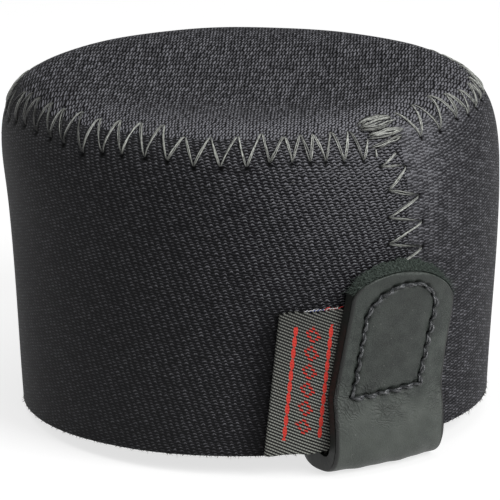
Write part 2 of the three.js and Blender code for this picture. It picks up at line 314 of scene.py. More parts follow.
# %% [markdown]
# ## The cap's outline
# Everything on this cap lies on, under or over one surface of revolution: a nearly straight
# wall, a round shoulder and a flat crown. The outline is worked out once as a table of radius and
# height against the distance over the surface from the hem. Any piece can then be placed by
# three plain numbers: how far round, how far up, and how far off the surface.

# %% The outline as a table
hem_radius, wall_top_radius, wall_height = 37.7, 39.9, 37.5
shoulder_rise, shoulder_reach = 19.9, 16.3
crown_height, crown_flat_radius = 52.0, 14.0


def bezier(a, b, c, d, count):
    """Points of a cubic curve: (1-t)^3 a + 3(1-t)^2 t b + 3(1-t) t^2 c + t^3 d."""
    t = np.linspace(0.0, 1.0, count)[:, None]
    return (1 - t) ** 3 * a + 3 * (1 - t) ** 2 * t * b + 3 * (1 - t) * t**2 * c + t**3 * d


def straight(a, b, count):
    """Evenly spaced points from a to b."""
    return a + (b - a) * np.linspace(0.0, 1.0, count)[:, None]


def measured(points):
    """Distance along a polyline at each of its points, and its unit tangent there."""
    steps = np.hypot(*np.diff(points, axis=0).T)
    along = np.concatenate([[0.0], np.cumsum(steps)])
    tangent = np.gradient(points, along, axis=0)
    return along, tangent / np.hypot(*tangent.T)[:, None]


wall_foot = np.array([hem_radius, 0.0])
wall_top = np.array([wall_top_radius, wall_height])
wall_length = float(np.hypot(*(wall_top - wall_foot)))
wall_line = (wall_top - wall_foot) / wall_length
shoulder_end = np.array([crown_flat_radius, crown_height])
below_hem = 8.0
shoulder_pulls = wall_top + wall_line * shoulder_rise, shoulder_end + [shoulder_reach, 0.0]
outline_points = np.concatenate([
    straight(wall_foot - wall_line * below_hem, wall_top, 400)[:-1],
    bezier(wall_top, *shoulder_pulls, shoulder_end, 900)[:-1],
    straight(shoulder_end, np.array([0.0, crown_height]), 60),
])
outline_along, outline_tangent = measured(outline_points)
outline_along -= below_hem
outline_length = float(outline_along[-1])


def outline(up):
    """Radius and height of the outline, and its outward normal, at distances up from the hem."""
    tangent_r, tangent_z = outline_tangent.T
    columns = (*outline_points.T, tangent_z, -tangent_r)
    return tuple(np.interp(up, outline_along, column) for column in columns)


print("over the surface from hem to crown middle:", round(outline_length, 2), "mm")

# %% [markdown]
# ## From the cap to the table
# The fold of the tab hangs below the hem, so the cap stands on that fold and on the hem
# opposite, and leans back a little. Hand-cut sheet is never quite true either: it has slow
# lumps, and the crown sits a touch higher at the back left. Both are added here, to every
# layer alike, so that no two layers ever part.

# %% Placing points
fold_drop, sheet_thickness, strap_width, strap_shift = 3.6, 4.0, 20.7, -0.8
fold_radius = hem_radius - sheet_thickness / 2
corner_reach = fold_radius * math.cos((strap_width / 2 + abs(strap_shift)) / fold_radius)
lean = math.atan2(fold_drop, corner_reach + hem_radius)
stand = np.array([-0.0032, -0.2194, 1.8897])
tilt_back, tilt_left = 0.0144, 0.0165
push_size, push_up, push_below, push_above = 0.69, 31.0, 22.0, 12.5


def on_table(x, y, z):
    """Cap millimetres to world metres: the crown's slight tilt, the lean about X, the shift."""
    z = z + (z / crown_height) ** 2 * (tilt_back * y - tilt_left * x)
    back = y * math.cos(lean) + z * math.sin(lean)
    above = z * math.cos(lean) - y * math.sin(lean)
    return (np.stack([x, back, above], -1) + stand) / 1000.0


def lumps(azimuth, up):
    """Slow unevenness of the sheet: a sideways push at mid height, and three waves round."""
    above = up - push_up
    push = push_size * np.exp(-((above / np.where(above < 0, push_below, push_above)) ** 2))
    waves = (
        0.07 * np.sin(3 * azimuth + 0.045 * up + 0.7)
        + 0.06 * np.sin(5 * azimuth - 0.09 * up - 1.1)
        + 0.03 * np.sin(11 * azimuth + 0.17 * up)
    )
    fade = np.clip((outline_length - up) / 12.0, 0.0, 1.0)
    return push * np.sin(azimuth - view_azimuth) + waves * fade


def round_cap(azimuth, radius, height):
    """World point at an azimuth in radians from the tab, a radius and a height."""
    return on_table(radius * np.sin(azimuth), -radius * np.cos(azimuth), height)


def cap_point(azimuth, up, out):
    """World point at an azimuth (radians from the tab, to the right), up and out in mm."""
    radius, height, normal_r, normal_z = outline(up)
    out = out + lumps(azimuth, up)
    radius = radius + normal_r * out
    return round_cap(azimuth, radius, height + normal_z * out + 0 * azimuth)


def cap_normal(azimuth, up):
    """Outward unit normal of the cap's surface, in the world."""
    step = cap_point(azimuth, up, 1.0 + 0 * up) - cap_point(azimuth, up, 0.0 * up)
    return step / np.linalg.norm(step, axis=-1, keepdims=True)


print("leans back", round(math.degrees(lean), 2), "degrees")

# %% [markdown]
# ## Turning grids into pieces
# A sheet of anything is a grid of points for its face and a matching grid for its back. Joining
# the two round their borders gives one closed skin that points outwards everywhere. Each
# vertex also carries its place on the cloth in millimetres, which the materials read.

# %% Grid to mesh
sharp_edge = 50.0  # degrees between two faces, above which their shared edge isn't smoothed


def dress(name, points, faces, cloth, finishes, kinds=None, shades=None, skews=None,
          body="cap"):
    """Makes one piece from points, faces and per-point cloth coordinates, and lets it ride.

    Its shades and skews are numbers per point that its materials read as attributes."""
    mesh = bpy.data.meshes.new(name)
    mesh.from_pydata(points.tolist(), [], faces)
    corners = np.empty(len(mesh.loops), dtype=np.int32)
    mesh.loops.foreach_get("vertex_index", corners)
    mesh.uv_layers.new(name="cloth").data.foreach_set("uv", cloth[corners].ravel())
    for attribute, values in (("shade", shades), ("skew", skews)):
        if values is not None:
            layer = mesh.attributes.new(attribute, "FLOAT", "POINT")
            layer.data.foreach_set("value", values.astype(np.float32))
    for finish in finishes:
        mesh.materials.append(finish)
    if kinds is not None:
        mesh.polygons.foreach_set("material_index", np.asarray(kinds, dtype=np.int32))
    mesh.polygons.foreach_set("use_smooth", np.ones(len(mesh.polygons), dtype=bool))
    mesh.set_sharp_from_angle(angle=math.radians(sharp_edge))
    piece = bpy.data.objects.new(name, mesh)
    bpy.context.collection.objects.link(piece)
    if body:
        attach(piece, body)
    print(name, len(points), "points", len(faces), "faces")
    return piece


def grid_faces(rows, columns, first=0, wrap=False, flip=False):
    """Quads of a grid whose rows run up and columns to the right, seen from its outer side."""
    steps = columns if wrap else columns - 1
    i, j = np.meshgrid(np.arange(rows - 1), np.arange(steps), indexing="ij")
    k = (j + 1) % columns
    low, high = i * columns, (i + 1) * columns
    quads = np.stack([low + j, low + k, high + k, high + j], -1).reshape(-1, 4) + first
    return quads[:, ::-1] if flip else quads


def slab_faces(rows, columns, wrap=False):
    """Quads of a closed slab: the face grid, the back grid turned round, and the rims."""
    face = grid_faces(rows, columns, wrap=wrap)
    back = grid_faces(rows, columns, first=rows * columns, wrap=wrap, flip=True)
    at = np.arange(2 * rows * columns).reshape(2, rows, columns)
    rims = []
    for row, turn in ((0, 1), (rows - 1, -1)):
        low = np.stack([at[0, row], at[1, row]])
        low = np.concatenate([low, low[:, :1]], axis=1) if wrap else low
        quads = np.stack([low[0, :-1], low[1, :-1], low[1, 1:], low[0, 1:]], -1)
        rims.append(quads[:, ::turn])
    if not wrap:
        for column, turn in ((0, -1), (columns - 1, 1)):
            side = np.stack([at[0, :, column], at[1, :, column]])
            quads = np.stack([side[0, :-1], side[1, :-1], side[1, 1:], side[0, 1:]], -1)
            rims.append(quads[:, ::turn])
    rim = np.concatenate(rims)
    kinds = np.repeat([0, 1, 2], [len(face), len(rim), len(back)])
    return np.concatenate([face, rim, back]), kinds


print("grids become closed slabs")

# %% [markdown]
# ## Knitted jersey
# The sheet is faced with a fine polyester jersey. Its wrong side shows: short arched floats in
# columns, bright on top and black in the gaps. The loops are 0.85 mm wide before the cloth is
# stretched and 0.51 mm high, far too many to model, so the material draws them: a ridge
# along a small parabola in each cell, with a faint upturned one half a cell away. The crown was
# stretched over its form, which pulls the floats out into slanting strokes.

# %% Jersey finish
wale_width, course_height, stretched_width = 0.85, 0.51, 1.05
flat_grey, shade_black = (0.040, 0.040, 0.041, 1), (0.002, 0.002, 0.002, 1)


def loop_ridge(wales, courses, skew, shift, crest, bend, reach, width, peak=4.0):
    """exp(-((y - crest + bend x^2 + skew x) / width)^2) in each cell, x and y from its middle.

    It is brightest at x = 0, by 1 - peak x^2, and fades out where x nears reach."""
    x = (wales + shift).math("FRACT") - 0.5
    y = (courses + shift).math("FRACT") - 0.5
    off = (x * x * bend + y + x * skew - crest) / width
    ridge = (off * off * -1.0).math("EXPONENT")
    return ridge * x.math("ABSOLUTE").fall(reach - 0.18, reach) * (x * x * -peak + 1.0)


def arched_loops(finish, wales, courses, nudge):
    """Height of the band's knit: arched floats, and fainter upturned ones half a cell away.

    Where the cloth is skewed more, the floats arch more and the gaps are darker."""
    skew = finish.attribute("skew")
    tight = (skew * -1.7 + 1.0).clamped()
    bend = tight * -2.4 + 3.4
    main = loop_ridge(wales, courses, skew, 0.0, bend * 0.06 + nudge, bend, 0.36, 0.18)
    faint = loop_ridge(wales, courses, skew, 0.5, -0.16, -2.4, 0.38, 0.19)
    height = main.math("MAXIMUM", faint * (tight * 0.27 + 0.15))
    return height * (tight * -0.28 + 1.0) + tight * 0.075


def jersey_finish(name, gap_colour, yarn_colour, stretched=False):
    """Floats on a dark ground, each loop a little brighter or duller than the next.

    From the left of the wall round the back its colour is blended towards an even grey,
    so its contrast is less."""
    finish = Finish(name, Roughness=0.6, Specular_IOR_Level=0.04)
    cloth = finish.cloth()
    across, along = finish.parts(cloth)
    drift = finish.noise(cloth, 0.6, 3.0) * 0.9 - 0.45
    sway = finish.noise(cloth, 1.1, 3.0) * 0.5 - 0.25
    wales = (across + drift) / (stretched_width if stretched else wale_width)
    courses = (along + sway) / course_height
    chance = finish.chance(finish.vector(wales.math("FLOOR"), courses.math("FLOOR")))
    nudge = chance * 0.24 - 0.12
    if stretched:
        height = loop_ridge(wales, courses, 0.5, 0.0, nudge, 0.4, 0.54, 0.25, 2.4)
    else:
        height = arched_loops(finish, wales, courses, nudge)
    crumbs = finish.noise(cloth, 3.2, 2.0, 0.6) * 2.2 - 0.1
    uneven = chance * chance * 1.2 + 0.5
    patchy, evenness = (0.5, 0.75) if stretched else (1.1, 0.45)
    patches = finish.noise(cloth, 0.35, 4.0, 0.6) * patchy + evenness
    # the shade attribute carries painted shade, and painted light where it is below 0
    shade = finish.attribute("shade")
    lit = (height * uneven * (patches * crumbs) * (1.0 - shade)).clamped()
    tint = finish.mix(lit, gap_colour, yarn_colour)
    # from the left of the wall round the back the colour is blended towards an even grey
    if not stretched:
        crisp = across.rise(131.0, 188.0).math("MAXIMUM", across.fall(50.0, 90.0))
        tint = finish.mix(crisp * 0.52 + 0.48, flat_grey, tint)
    # painted shade takes the colour towards black
    finish.colour(finish.mix(shade * 0.9, tint, shade_black))
    finish.bump(height * uneven, 0.00014)
    return finish.material


jersey = jersey_finish("jersey", (0.005, 0.005, 0.006, 1), (0.210, 0.210, 0.229, 1))
crown_knit = jersey_finish(
    "crown_jersey", (0.002, 0.002, 0.0025, 1), (0.225, 0.225, 0.247, 1), stretched=True)
print("a loop of the jersey is", wale_width, "by", course_height, "mm")

# %% [markdown]
# ## Neoprene foam
# Between the two jerseys is black closed-cell rubber. It shows at the cut hem and as a hair
# line where the panels meet, as a matt black with pinholes from the cells that the knife opened.

# %% Foam finish
def foam_finish():
    """Near-black rubber, pitted by small round cells."""
    finish = Finish("foam", Roughness=0.85, Specular_IOR_Level=0.25)
    pits = finish.spots(finish.node("TexCoord").outputs["Object"], 3200.0).rise(0.15, 0.5)
    finish.colour(finish.mix(pits, (0.006, 0.006, 0.006, 1), (0.018, 0.018, 0.019, 1)))
    finish.bump(pits, 0.00008)
    return finish.material


foam = foam_finish()
print("foam finish ready")

# %% [markdown]
# ## Where the needle went
# The zigzag was guided by hand, so its points wander: wide at the left, narrow in front, wide
# again past the tack. The holes are listed where they can be seen, in degrees round from the tab
# and millimetres over the surface, and the pitch carries on evenly round the back.

# %% Needle holes
band_width = 51.9
seam_azimuth = math.radians(5.2)
stitch_angle = 6.4

left_top = np.array([
    (-120.8, 51.6), (-113.3, 53.2), (-109.4, 54.0), (-103.5, 54.3), (-96.3, 54.7),
    (-89.2, 54.6), (-82.2, 55.2), (-74.3, 54.5), (-67.9, 54.9), (-61.6, 55.1),
    (-55.0, 55.1), (-48.1, 52.5), (-41.7, 52.7), (-35.1, 53.0), (-29.2, 53.7),
    (-23.5, 52.8), (-19.5, 53.0), (-16.4, 52.9), (-11.6, 53.0), (-7.1, 52.7),
    (-2.8, 50.6)])
left_low = np.array([
    (-111.2, 47.5), (-105.1, 48.2), (-99.2, 48.5), (-92.6, 48.4), (-86.3, 48.3),
    (-81.0, 48.0), (-74.2, 47.2), (-68.4, 47.9), (-63.2, 48.1), (-57.2, 48.1),
    (-51.6, 47.9), (-45.3, 47.2), (-39.1, 47.3), (-33.1, 47.3), (-27.9, 47.9),
    (-22.7, 47.8), (-18.4, 47.7), (-14.8, 47.6), (-10.4, 47.3), (-5.6, 47.1)])
right_top = np.array([
    (9.6, 55.3), (18.9, 56.1), (29.5, 56.8), (35.7, 55.4), (43.5, 54.1),
    (53.0, 53.2)])
right_low = np.array([
    (12.3, 49.0), (19.5, 49.1), (28.2, 50.0), (34.5, 49.6), (41.3, 49.7),
    (48.8, 49.8)])


def in_turn(tops, lows):
    """Top and bottom holes taken in turn, as (radians round, mm up, depth of the dimple)."""
    tops = np.column_stack([np.radians(tops[:, 0]), tops[:, 1], np.full(len(tops), 0.35)])
    lows = np.column_stack([np.radians(lows[:, 0]), lows[:, 1], np.full(len(lows), 1.0)])
    return np.stack([tops, lows], 1).reshape(-1, 3)


def crown_seam_holes():
    """The zigzag's holes from just right of the tack, round the back, to its left."""
    whole_turn = np.array([360.0, 0.0])
    pairs = int(round((left_top[0, 0] + 360.0 - right_top[-1, 0]) / stitch_angle))
    share = np.arange(1, pairs)[:, None] / pairs
    back_top = right_top[-1] * (1 - share) + (left_top[0] + whole_turn) * share
    offset = (right_low[-1] - right_top[-1]) * (1 - share) + (left_low[0] - left_top[0]) * share
    back_low = back_top + offset
    back_low[:, 1] = np.minimum(back_low[:, 1], 48.2 + 1.6 * np.exp(-share[:, 0] * 12))
    last = np.array([[np.radians(left_top[-1, 0] + 360.0), left_top[-1, 1], 0.0]])
    return np.concatenate([
        in_turn(right_top, right_low),
        in_turn(back_top, back_low),
        in_turn(left_top[:-1] + whole_turn, left_low + whole_turn),
        last,
    ])


def side_seam_holes(pitch):
    """The side seam's holes from the tack down to the hem, the seen ones first."""
    seen = np.array([
        (3.7, 47.5), (-1.5, 45.8), (5.5, 45.1), (-0.1, 41.8), (8.7, 40.1),
        (-0.3, 37.4), (9.6, 35.7), (-0.2, 33.0), (9.8, 31.4)])
    more = np.arange(1, 8)
    left = np.stack([0 * more - 0.2, 33.0 - pitch * more], -1)
    right = np.stack([0 * more + 9.9, 31.4 - pitch * more], -1)
    rest = np.stack([left, right], 1).reshape(-1, 2)
    holes = np.concatenate([seen, rest[rest[:, 1] > 0.9]])
    return np.column_stack([np.radians(holes[:, 0]), holes[:, 1], np.full(len(holes), 0.9)])


crown_holes = crown_seam_holes()
side_holes = side_seam_holes(4.4)
print("needle holes:", len(crown_holes), "round the crown,", len(side_holes), "up the side")

# %% [markdown]
# ## Panels of the sheet
# The zigzag pulls the two cut edges together into a shallow groove with a crisp line in it, and
# every needle hole is a small dimple, darkened by painted shade. Pools of light are painted on
# the jersey along the zigzag and round the tack, and a shadow is painted beside the label's fold.
# The band and the crown are cut as flat grids and laid on the outline, with rows crowded near the
# seam so that groove, line and dimples have the points they need.

# %% Relief of the outer face
butt_gap = 0.03


def wrapped(angle):
    """An angle brought into -pi to pi."""
    return (angle + np.pi) % (2 * np.pi) - np.pi


def hollow(azimuth, up, holes, reach):
    """Sum over the holes of depth * exp(-(distance / reach)^2), in mm over the surface."""
    radius = outline(up)[0]
    total = np.zeros(np.broadcast(azimuth, up).shape)
    for part in np.array_split(holes, max(1, len(holes) // 24)):
        round_off = wrapped(azimuth[..., None] - part[:, 0]) * radius[..., None]
        up_off = up[..., None] - part[:, 1]
        total += (part[:, 2] * np.exp(-(round_off**2 + up_off**2) / reach**2)).sum(-1)
    return total


def edge_roll(distance, depth, reach):
    """How far a cut edge rolls down, depth * exp(-distance / reach)."""
    return depth * np.exp(-np.maximum(distance, 0.0) / reach)


def groove(azimuth, up):
    """The shallow channels that the zigzags press along both seams, in mm below the surface."""
    radius = outline(up)[0]
    crown = 0.06 * np.exp(-(((up - band_width) / 2.0) ** 2))
    from_side_seam = wrapped(azimuth - seam_azimuth) * radius
    side = 0.07 * np.exp(-((from_side_seam / 2.0) ** 2)) * (up < band_width)
    return np.maximum(crown, side)


def painted_light_and_shade(azimuth, up):
    """Painted light and shade on the jersey, as a darkness that is below 0 where light is painted:
    bell-shaped pools of painted light beside the side seam, at the tack and along the zigzag, and
    a painted shadow in a strip beside the label's fold."""
    turn = wrapped(azimuth)
    left_of_seam = turn < seam_azimuth
    from_seam = np.where(left_of_seam, (turn + 0.05) / 0.40, (turn - 0.09) / 0.24)
    # pools of painted light beside the side seam, on the tack and along the crown's zigzag
    beside_tack = np.exp(-(from_seam**2) - ((up - 46.0) / 14.0) ** 2)
    beside_tack = beside_tack * np.where(left_of_seam, 1.0, 0.4) * (up < band_width)
    at_tack = np.exp(-(((turn - 0.02) / 0.20) ** 2) - ((up - 48.0) / 6.0) ** 2)
    along_seam = np.exp(-(((up - 54.0) / 5.0) ** 2)) * np.clip(np.cos(turn + 0.2), 0.0, 1.0)
    # a painted shadow in a strip to the left of the label's fold, below its top
    past_fold = turn * outline(up)[0] - (-21.6 + 0.091 * up)
    above_label = np.clip((up - 23.0) / 0.8, -30.0, 30.0)
    painted_lighting = np.exp(-((past_fold / 2.2) ** 2)) / (1 + np.exp(above_label))
    return 0.5 * painted_lighting - 2.7 * beside_tack - 1.0 * at_tack - 1.15 * along_seam


def outer_relief(azimuth, up):
    """What the sewing does to the outer face: how far it moves, in mm out, and its darkness, which
    is painted shade at the needle holes and the jersey's painted light and shade.
    """
    radius = outline(up)[0]
    round_distance = np.abs(wrapped(azimuth - seam_azimuth)) * radius
    from_side_seam = np.where(up < band_width, round_distance, 9.0)
    roll = edge_roll(np.abs(up - band_width) - butt_gap / 2, 0.04, 0.12)
    roll = np.maximum(roll, edge_roll(from_side_seam - butt_gap / 2, 0.03, 0.12))
    dimple = hollow(azimuth, up, crown_holes, 0.62) + hollow(azimuth, up, side_holes, 0.58)
    wide = hollow(azimuth, up, crown_holes, 1.3) + hollow(azimuth, up, side_holes, 1.2)
    # painted shade just below each needle hole, at its dimple
    hole_shade = hollow(azimuth, up + 0.15, crown_holes, 0.52)
    hole_shade = hole_shade + hollow(azimuth, up + 0.1, side_holes, 0.52)
    shade = np.clip(1.15 * hole_shade, 0.0, 1.0)
    lift = -groove(azimuth, up) - roll - 0.28 * np.minimum(dimple, 1.2) - 0.06 * wide
    return lift, shade + (1 - shade) * painted_light_and_shade(azimuth, up)


print("relief ready")

# %% [markdown]
# ## Where the points go
# A panel needs most of its points where it is sewn and where the eye comes close, and few round
# the back. Its rows and columns are therefore joined from stretches, each with its own spacing.

# %% Rows and columns of the panels
def crowded(*stops):
    """Joins stretches of evenly spaced values: (start, end, steps) each."""
    parts = [np.linspace(a, b, steps + 1)[:-1] for a, b, steps in stops]
    return np.concatenate(parts + [[stops[-1][1]]])


band_edge = band_width - butt_gap / 2
crown_edge = band_width + butt_gap / 2
crown_middle = outline_length - 0.4
band_rows = crowded(
    (0.0, 0.5, 3), (0.5, 28.0, 12), (28.0, 44.5, 34), (44.5, band_edge - 0.5, 20),
    (band_edge - 0.5, band_edge - 0.1, 4), (band_edge - 0.1, band_edge, 2))
crown_rows = crowded(
    (crown_edge, crown_edge + 0.1, 2), (crown_edge + 0.1, crown_edge + 0.5, 4),
    (crown_edge + 0.5, 59.0, 20), (59.0, crown_middle, 22))
half_gap = butt_gap / 2 / hem_radius
near_side, front_end, back_end = np.radians(7.0), np.radians(52.0), np.radians(230.0)
side_columns = crowded((half_gap, 0.0033, 2), (0.0033, 0.014, 4), (0.014, near_side, 26))
far_columns = crowded(
    (near_side, front_end, 107), (front_end, back_end, 130), (back_end, 2 * np.pi - near_side, 292))
band_columns = seam_azimuth + np.concatenate([
    side_columns, far_columns[1:-1], (2 * np.pi - side_columns)[::-1]])
ring_columns = seam_azimuth + crowded(
    (0.0, front_end, 124), (front_end, back_end, 150), (back_end, 2 * np.pi, 310))[:-1]
print("band", len(band_rows), "x", len(band_columns))
print("crown", len(crown_rows), "x", len(ring_columns))

# %% [markdown]
# ## How the knit lies
# The band was cut askew. Left of the side seam its loops climb to the right at about twenty
# degrees, and right of the seam they fall nearly as steeply, so the grain is turned little by
# by little round the back. The crown is a flat disc, so its grain stays straight while the disc
# curves over.

# %% Grain of each panel
def turned_share(azimuth):
    """How far the grain has turned: 0 right of the side seam, 1 left of it.

    It is sin^2(pi share / 2), where share is the part of the way round."""
    return np.sin((azimuth - seam_azimuth) / 4.0) ** 2


def grain_slope(azimuth):
    """How steeply the courses climb to the right: -0.33 right of the seam, 0.39 left of it."""
    return -0.33 + 0.72 * turned_share(azimuth)


def band_cloth(azimuth, up):
    """Wale and course distances on the band: the courses' slope is summed round the band."""
    round_share = (azimuth - seam_azimuth) / (2 * np.pi)
    eased = round_share / 2 - np.sin(np.pi * round_share) / (2 * np.pi)
    summed = -0.33 * round_share + 0.72 * eased
    courses = (up - hem_radius * 2 * np.pi * summed) * np.cos(np.arctan(grain_slope(azimuth)))
    wales = azimuth * 30.3 + (up - 25.0) * 0.29 * turned_share(azimuth)
    return np.stack(np.broadcast_arrays(wales, courses), -1)


def crown_cloth(azimuth, up):
    """The flat disc, courses running away from the eye: the cloth is stretched most in its middle.

    A depth s from the middle lies at s (0.43 + 0.03 max(|s| - 18, 0)^2 / |s|) on the cloth."""
    reach = outline_length - up
    turn = azimuth - view_azimuth + math.radians(1.8)
    depth = reach * np.cos(turn)
    relaxed = 0.43 * depth + 0.03 * np.sign(depth) * np.maximum(np.abs(depth) - 18.0, 0.0) ** 2
    return np.stack(np.broadcast_arrays(relaxed, 0.965 * reach * np.sin(turn)), -1)


print("grain laid")

# %% [markdown]
# ## The outer jersey
# The knit that shows is a thin skin over the foam, drawn in wherever it is sewn. Both panels
# are made in the same way, but the crown's rings close in a point at its middle, so that no
# hole is left there.

# %% Outer jersey
jersey_thickness, shared_lift = 0.42, 0.6


def layer_grids(azimuths, ups, outer, inner, relief):
    """Azimuths, distances up, face and back points and darkness of one layer, between depths.

    The relief moves the face, and the back by shared_lift of it."""
    up, azimuth = np.meshgrid(ups, azimuths, indexing="ij")
    lift, dark = relief(azimuth, up) if relief else (0.0 * up, 0.0 * up)
    back = cap_point(azimuth, up, shared_lift * lift - inner)
    return azimuth, up, cap_point(azimuth, up, lift - outer), back, dark


def stack_sides(face, back, cloth, dark):
    """Points, cloth coordinates and shades of a slab, its face first and its back after."""
    points = np.concatenate([face.reshape(-1, 3), back.reshape(-1, 3)])
    both = np.concatenate([cloth.reshape(-1, 2)] * 2)
    return points, both, np.concatenate([dark.ravel(), dark.ravel() * 0])


def edge_last(kinds, finishes):
    """Finish numbers of a slab's quads: the first on face and back, the last on its cut edges."""
    return np.take((0, len(finishes) - 1, 0), kinds)


def sew_band(name, outer, inner, finishes, azimuths, ups, relief=None):
    """The side band of one layer, from one side of the side seam right round to the other."""
    azimuth, up, face, back, dark = layer_grids(azimuths, ups, outer, inner, relief)
    faces, kinds = slab_faces(len(ups), len(azimuths))
    points, both, shades = stack_sides(face, back, band_cloth(azimuth, up), dark)
    turned = turned_share(azimuths)
    skew = np.tile(grain_slope(azimuths) * turned * 1.8 - 0.45 * (1 - turned) ** 4, 2 * len(ups))
    kinds = edge_last(kinds, finishes)
    return dress(name, points, faces.tolist(), both, finishes, kinds, shades, skew)


def sew_crown(name, outer, inner, finishes, azimuths, ups, relief=None):
    """The crown disc of one layer: rings from the seam inwards, closed by a point in the middle."""
    azimuth, up, face, back, dark = layer_grids(azimuths, ups, outer, inner, relief)
    rows, columns = up.shape
    faces, kinds = slab_faces(rows, columns, wrap=True)
    inner_rim = np.arange(rows * columns, (rows + 1) * columns)
    faces, kinds = np.delete(faces, inner_rim, axis=0), np.delete(kinds, inner_rim)
    points, both, shades = stack_sides(face, back, crown_cloth(azimuth, up), dark)
    top = np.array([outline_length]) - 1e-6
    middles = [cap_point(np.zeros(1), top, np.array([-depth])) for depth in (outer, inner)]
    ring = np.arange(columns)
    after = (ring + 1) % columns
    last, last_under = (rows - 1) * columns, (2 * rows - 1) * columns
    fan = np.stack([last + ring, last + after, 0 * ring + len(points)], -1)
    under_fan = np.stack([last_under + after, last_under + ring, 0 * ring + len(points) + 1], -1)
    faces = faces.tolist() + fan.tolist() + under_fan.tolist()
    kinds = edge_last(np.concatenate([kinds, 0 * ring, 0 * ring + 2]), finishes)
    points = np.concatenate([points, *middles])
    both = np.concatenate([both, np.zeros((2, 2))])
    shades = np.concatenate([shades, [0.0, 0.0]])
    return dress(name, points, faces, both, finishes, kinds, shades)


band_face = sew_band(
    "band_jersey", 0.0, jersey_thickness, [jersey, foam],
    band_columns, band_rows, outer_relief)
crown_face = sew_crown(
    "crown_jersey", 0.0, jersey_thickness, [crown_knit, foam],
    ring_columns, crown_rows, outer_relief)
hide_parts("band_face")
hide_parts("crown_face")

# %% [markdown]
# ## Foam and lining
# Under the face lie the foam core and the lining. Both show at the cut hem and inside the cap,
# so each is a slab of its own, and since neither shows much, they get fewer points.

# %% Foam and lining
foam_top, foam_under = 0.45, 3.55
lining_top, lining_under = 3.58, 4.0
foam_columns = seam_azimuth + np.linspace(half_gap, 2 * np.pi - half_gap, 241)
foam_rows = crowded((0.05, 1.0, 3), (1.0, 46.0, 20), (46.0, band_edge, 8))
crown_foam_rows = crowded((crown_edge, 60.0, 10), (60.0, crown_middle, 12))
foam_ring = np.linspace(0.0, 2 * np.pi, 240, endpoint=False)


def foam_relief(azimuth, up):
    """The foam lies 0.1 mm lower and follows the groove at 0.6 of its depth."""
    return -0.6 * groove(azimuth, up) - 0.1, 0 * up


band_core = sew_band(
    "band_neoprene", foam_top, foam_under, [foam], foam_columns, foam_rows, foam_relief)
crown_core = sew_crown(
    "crown_neoprene", foam_top, foam_under, [foam], foam_ring, crown_foam_rows, foam_relief)
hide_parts("band_foam")
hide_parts("crown_foam")
lining_columns = seam_azimuth + np.linspace(half_gap, 2 * np.pi - half_gap, 361)
lining_rows = crowded((0.0, 45.0, 24), (45.0, band_edge, 12))
crown_lining_rows = crowded((crown_edge, 59.0, 12), (59.0, crown_middle, 14))
lining_ring = np.linspace(0, 2 * np.pi, 360, endpoint=False)
band_inside = sew_band(
    "band_lining_jersey", lining_top, lining_under, [jersey, foam],
    lining_columns, lining_rows)
crown_inside = sew_crown(
    "crown_lining_jersey", lining_top, lining_under, [jersey, foam],
    lining_ring, crown_lining_rows)
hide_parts("band_lining")
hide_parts("crown_lining")

# %% [markdown]
# ## Thread as tubes
# A sewing thread is a few twisted filaments, and at this size they show one by one. Each
# filament is a thin tube carried along its own path. All the tubes of a seam are worked out
# together: a path array, a direction off the cloth to build the section on, and a radius.

# %% Tubes
def tube_faces(count, stations, sides):
    """The quads round each tube, and the two polygons that close its ends."""
    tube = np.arange(count)[:, None, None] * stations * sides
    i, k = np.meshgrid(np.arange(stations - 1), np.arange(sides), indexing="ij")
    after = (k + 1) % sides
    low, high = i * sides, (i + 1) * sides
    one = np.stack([low + k, low + after, high + after, high + k], -1).reshape(-1, 4)
    quads = (tube + one[None]).reshape(-1, 4)
    start = (tube[:, 0] + np.arange(sides)[::-1]).reshape(-1, sides)
    end = (tube[:, 0] + (stations - 1) * sides + np.arange(sides)).reshape(-1, sides)
    return quads.tolist() + start.tolist() + end.tolist()


def tube_mesh(paths, away, radii, sides, shades=None):
    """Tubes: at each station a ring centre + radius (side cos a + up sin a), with closed ends.

    The shades hold a darkness per station, which every point of its ring takes."""
    count, stations, _ = paths.shape
    tangent = np.gradient(paths, axis=1)
    tangent /= np.maximum(np.linalg.norm(tangent, axis=-1, keepdims=True), 1e-12)
    side = np.cross(tangent, away)
    side /= np.maximum(np.linalg.norm(side, axis=-1, keepdims=True), 1e-12)
    lift = np.cross(side, tangent)
    angle = 2 * np.pi * np.arange(sides) / sides
    ring = side[:, :, None] * np.cos(angle)[:, None] + lift[:, :, None] * np.sin(angle)[:, None]
    points = paths[:, :, None] + ring * radii[:, :, None, None]
    steps = np.linalg.norm(np.diff(paths, axis=1), axis=-1)
    along = np.concatenate([np.zeros((count, 1)), np.cumsum(steps, axis=1)], axis=1) * 1000
    along = along[:, :, None] + 7.3 * np.arange(count)[:, None, None]
    cloth = np.stack(np.broadcast_arrays(along, np.arange(sides) / sides), -1)
    shades = np.zeros((count, stations)) if shades is None else shades
    dark = np.repeat(shades.reshape(-1), sides)
    return points.reshape(-1, 3), tube_faces(count, stations, sides), cloth.reshape(-1, 2), dark


print("paths become tubes")

# %% [markdown]
# ## Thread finish
# Spun thread has a satin shine. The light and dark streaks that run along it are painted into its
# colour, partly its own uneven tone and partly painted sheen. The parts that dive into the cloth
# are out of the light, so a painted shade carried by the mesh sinks them.

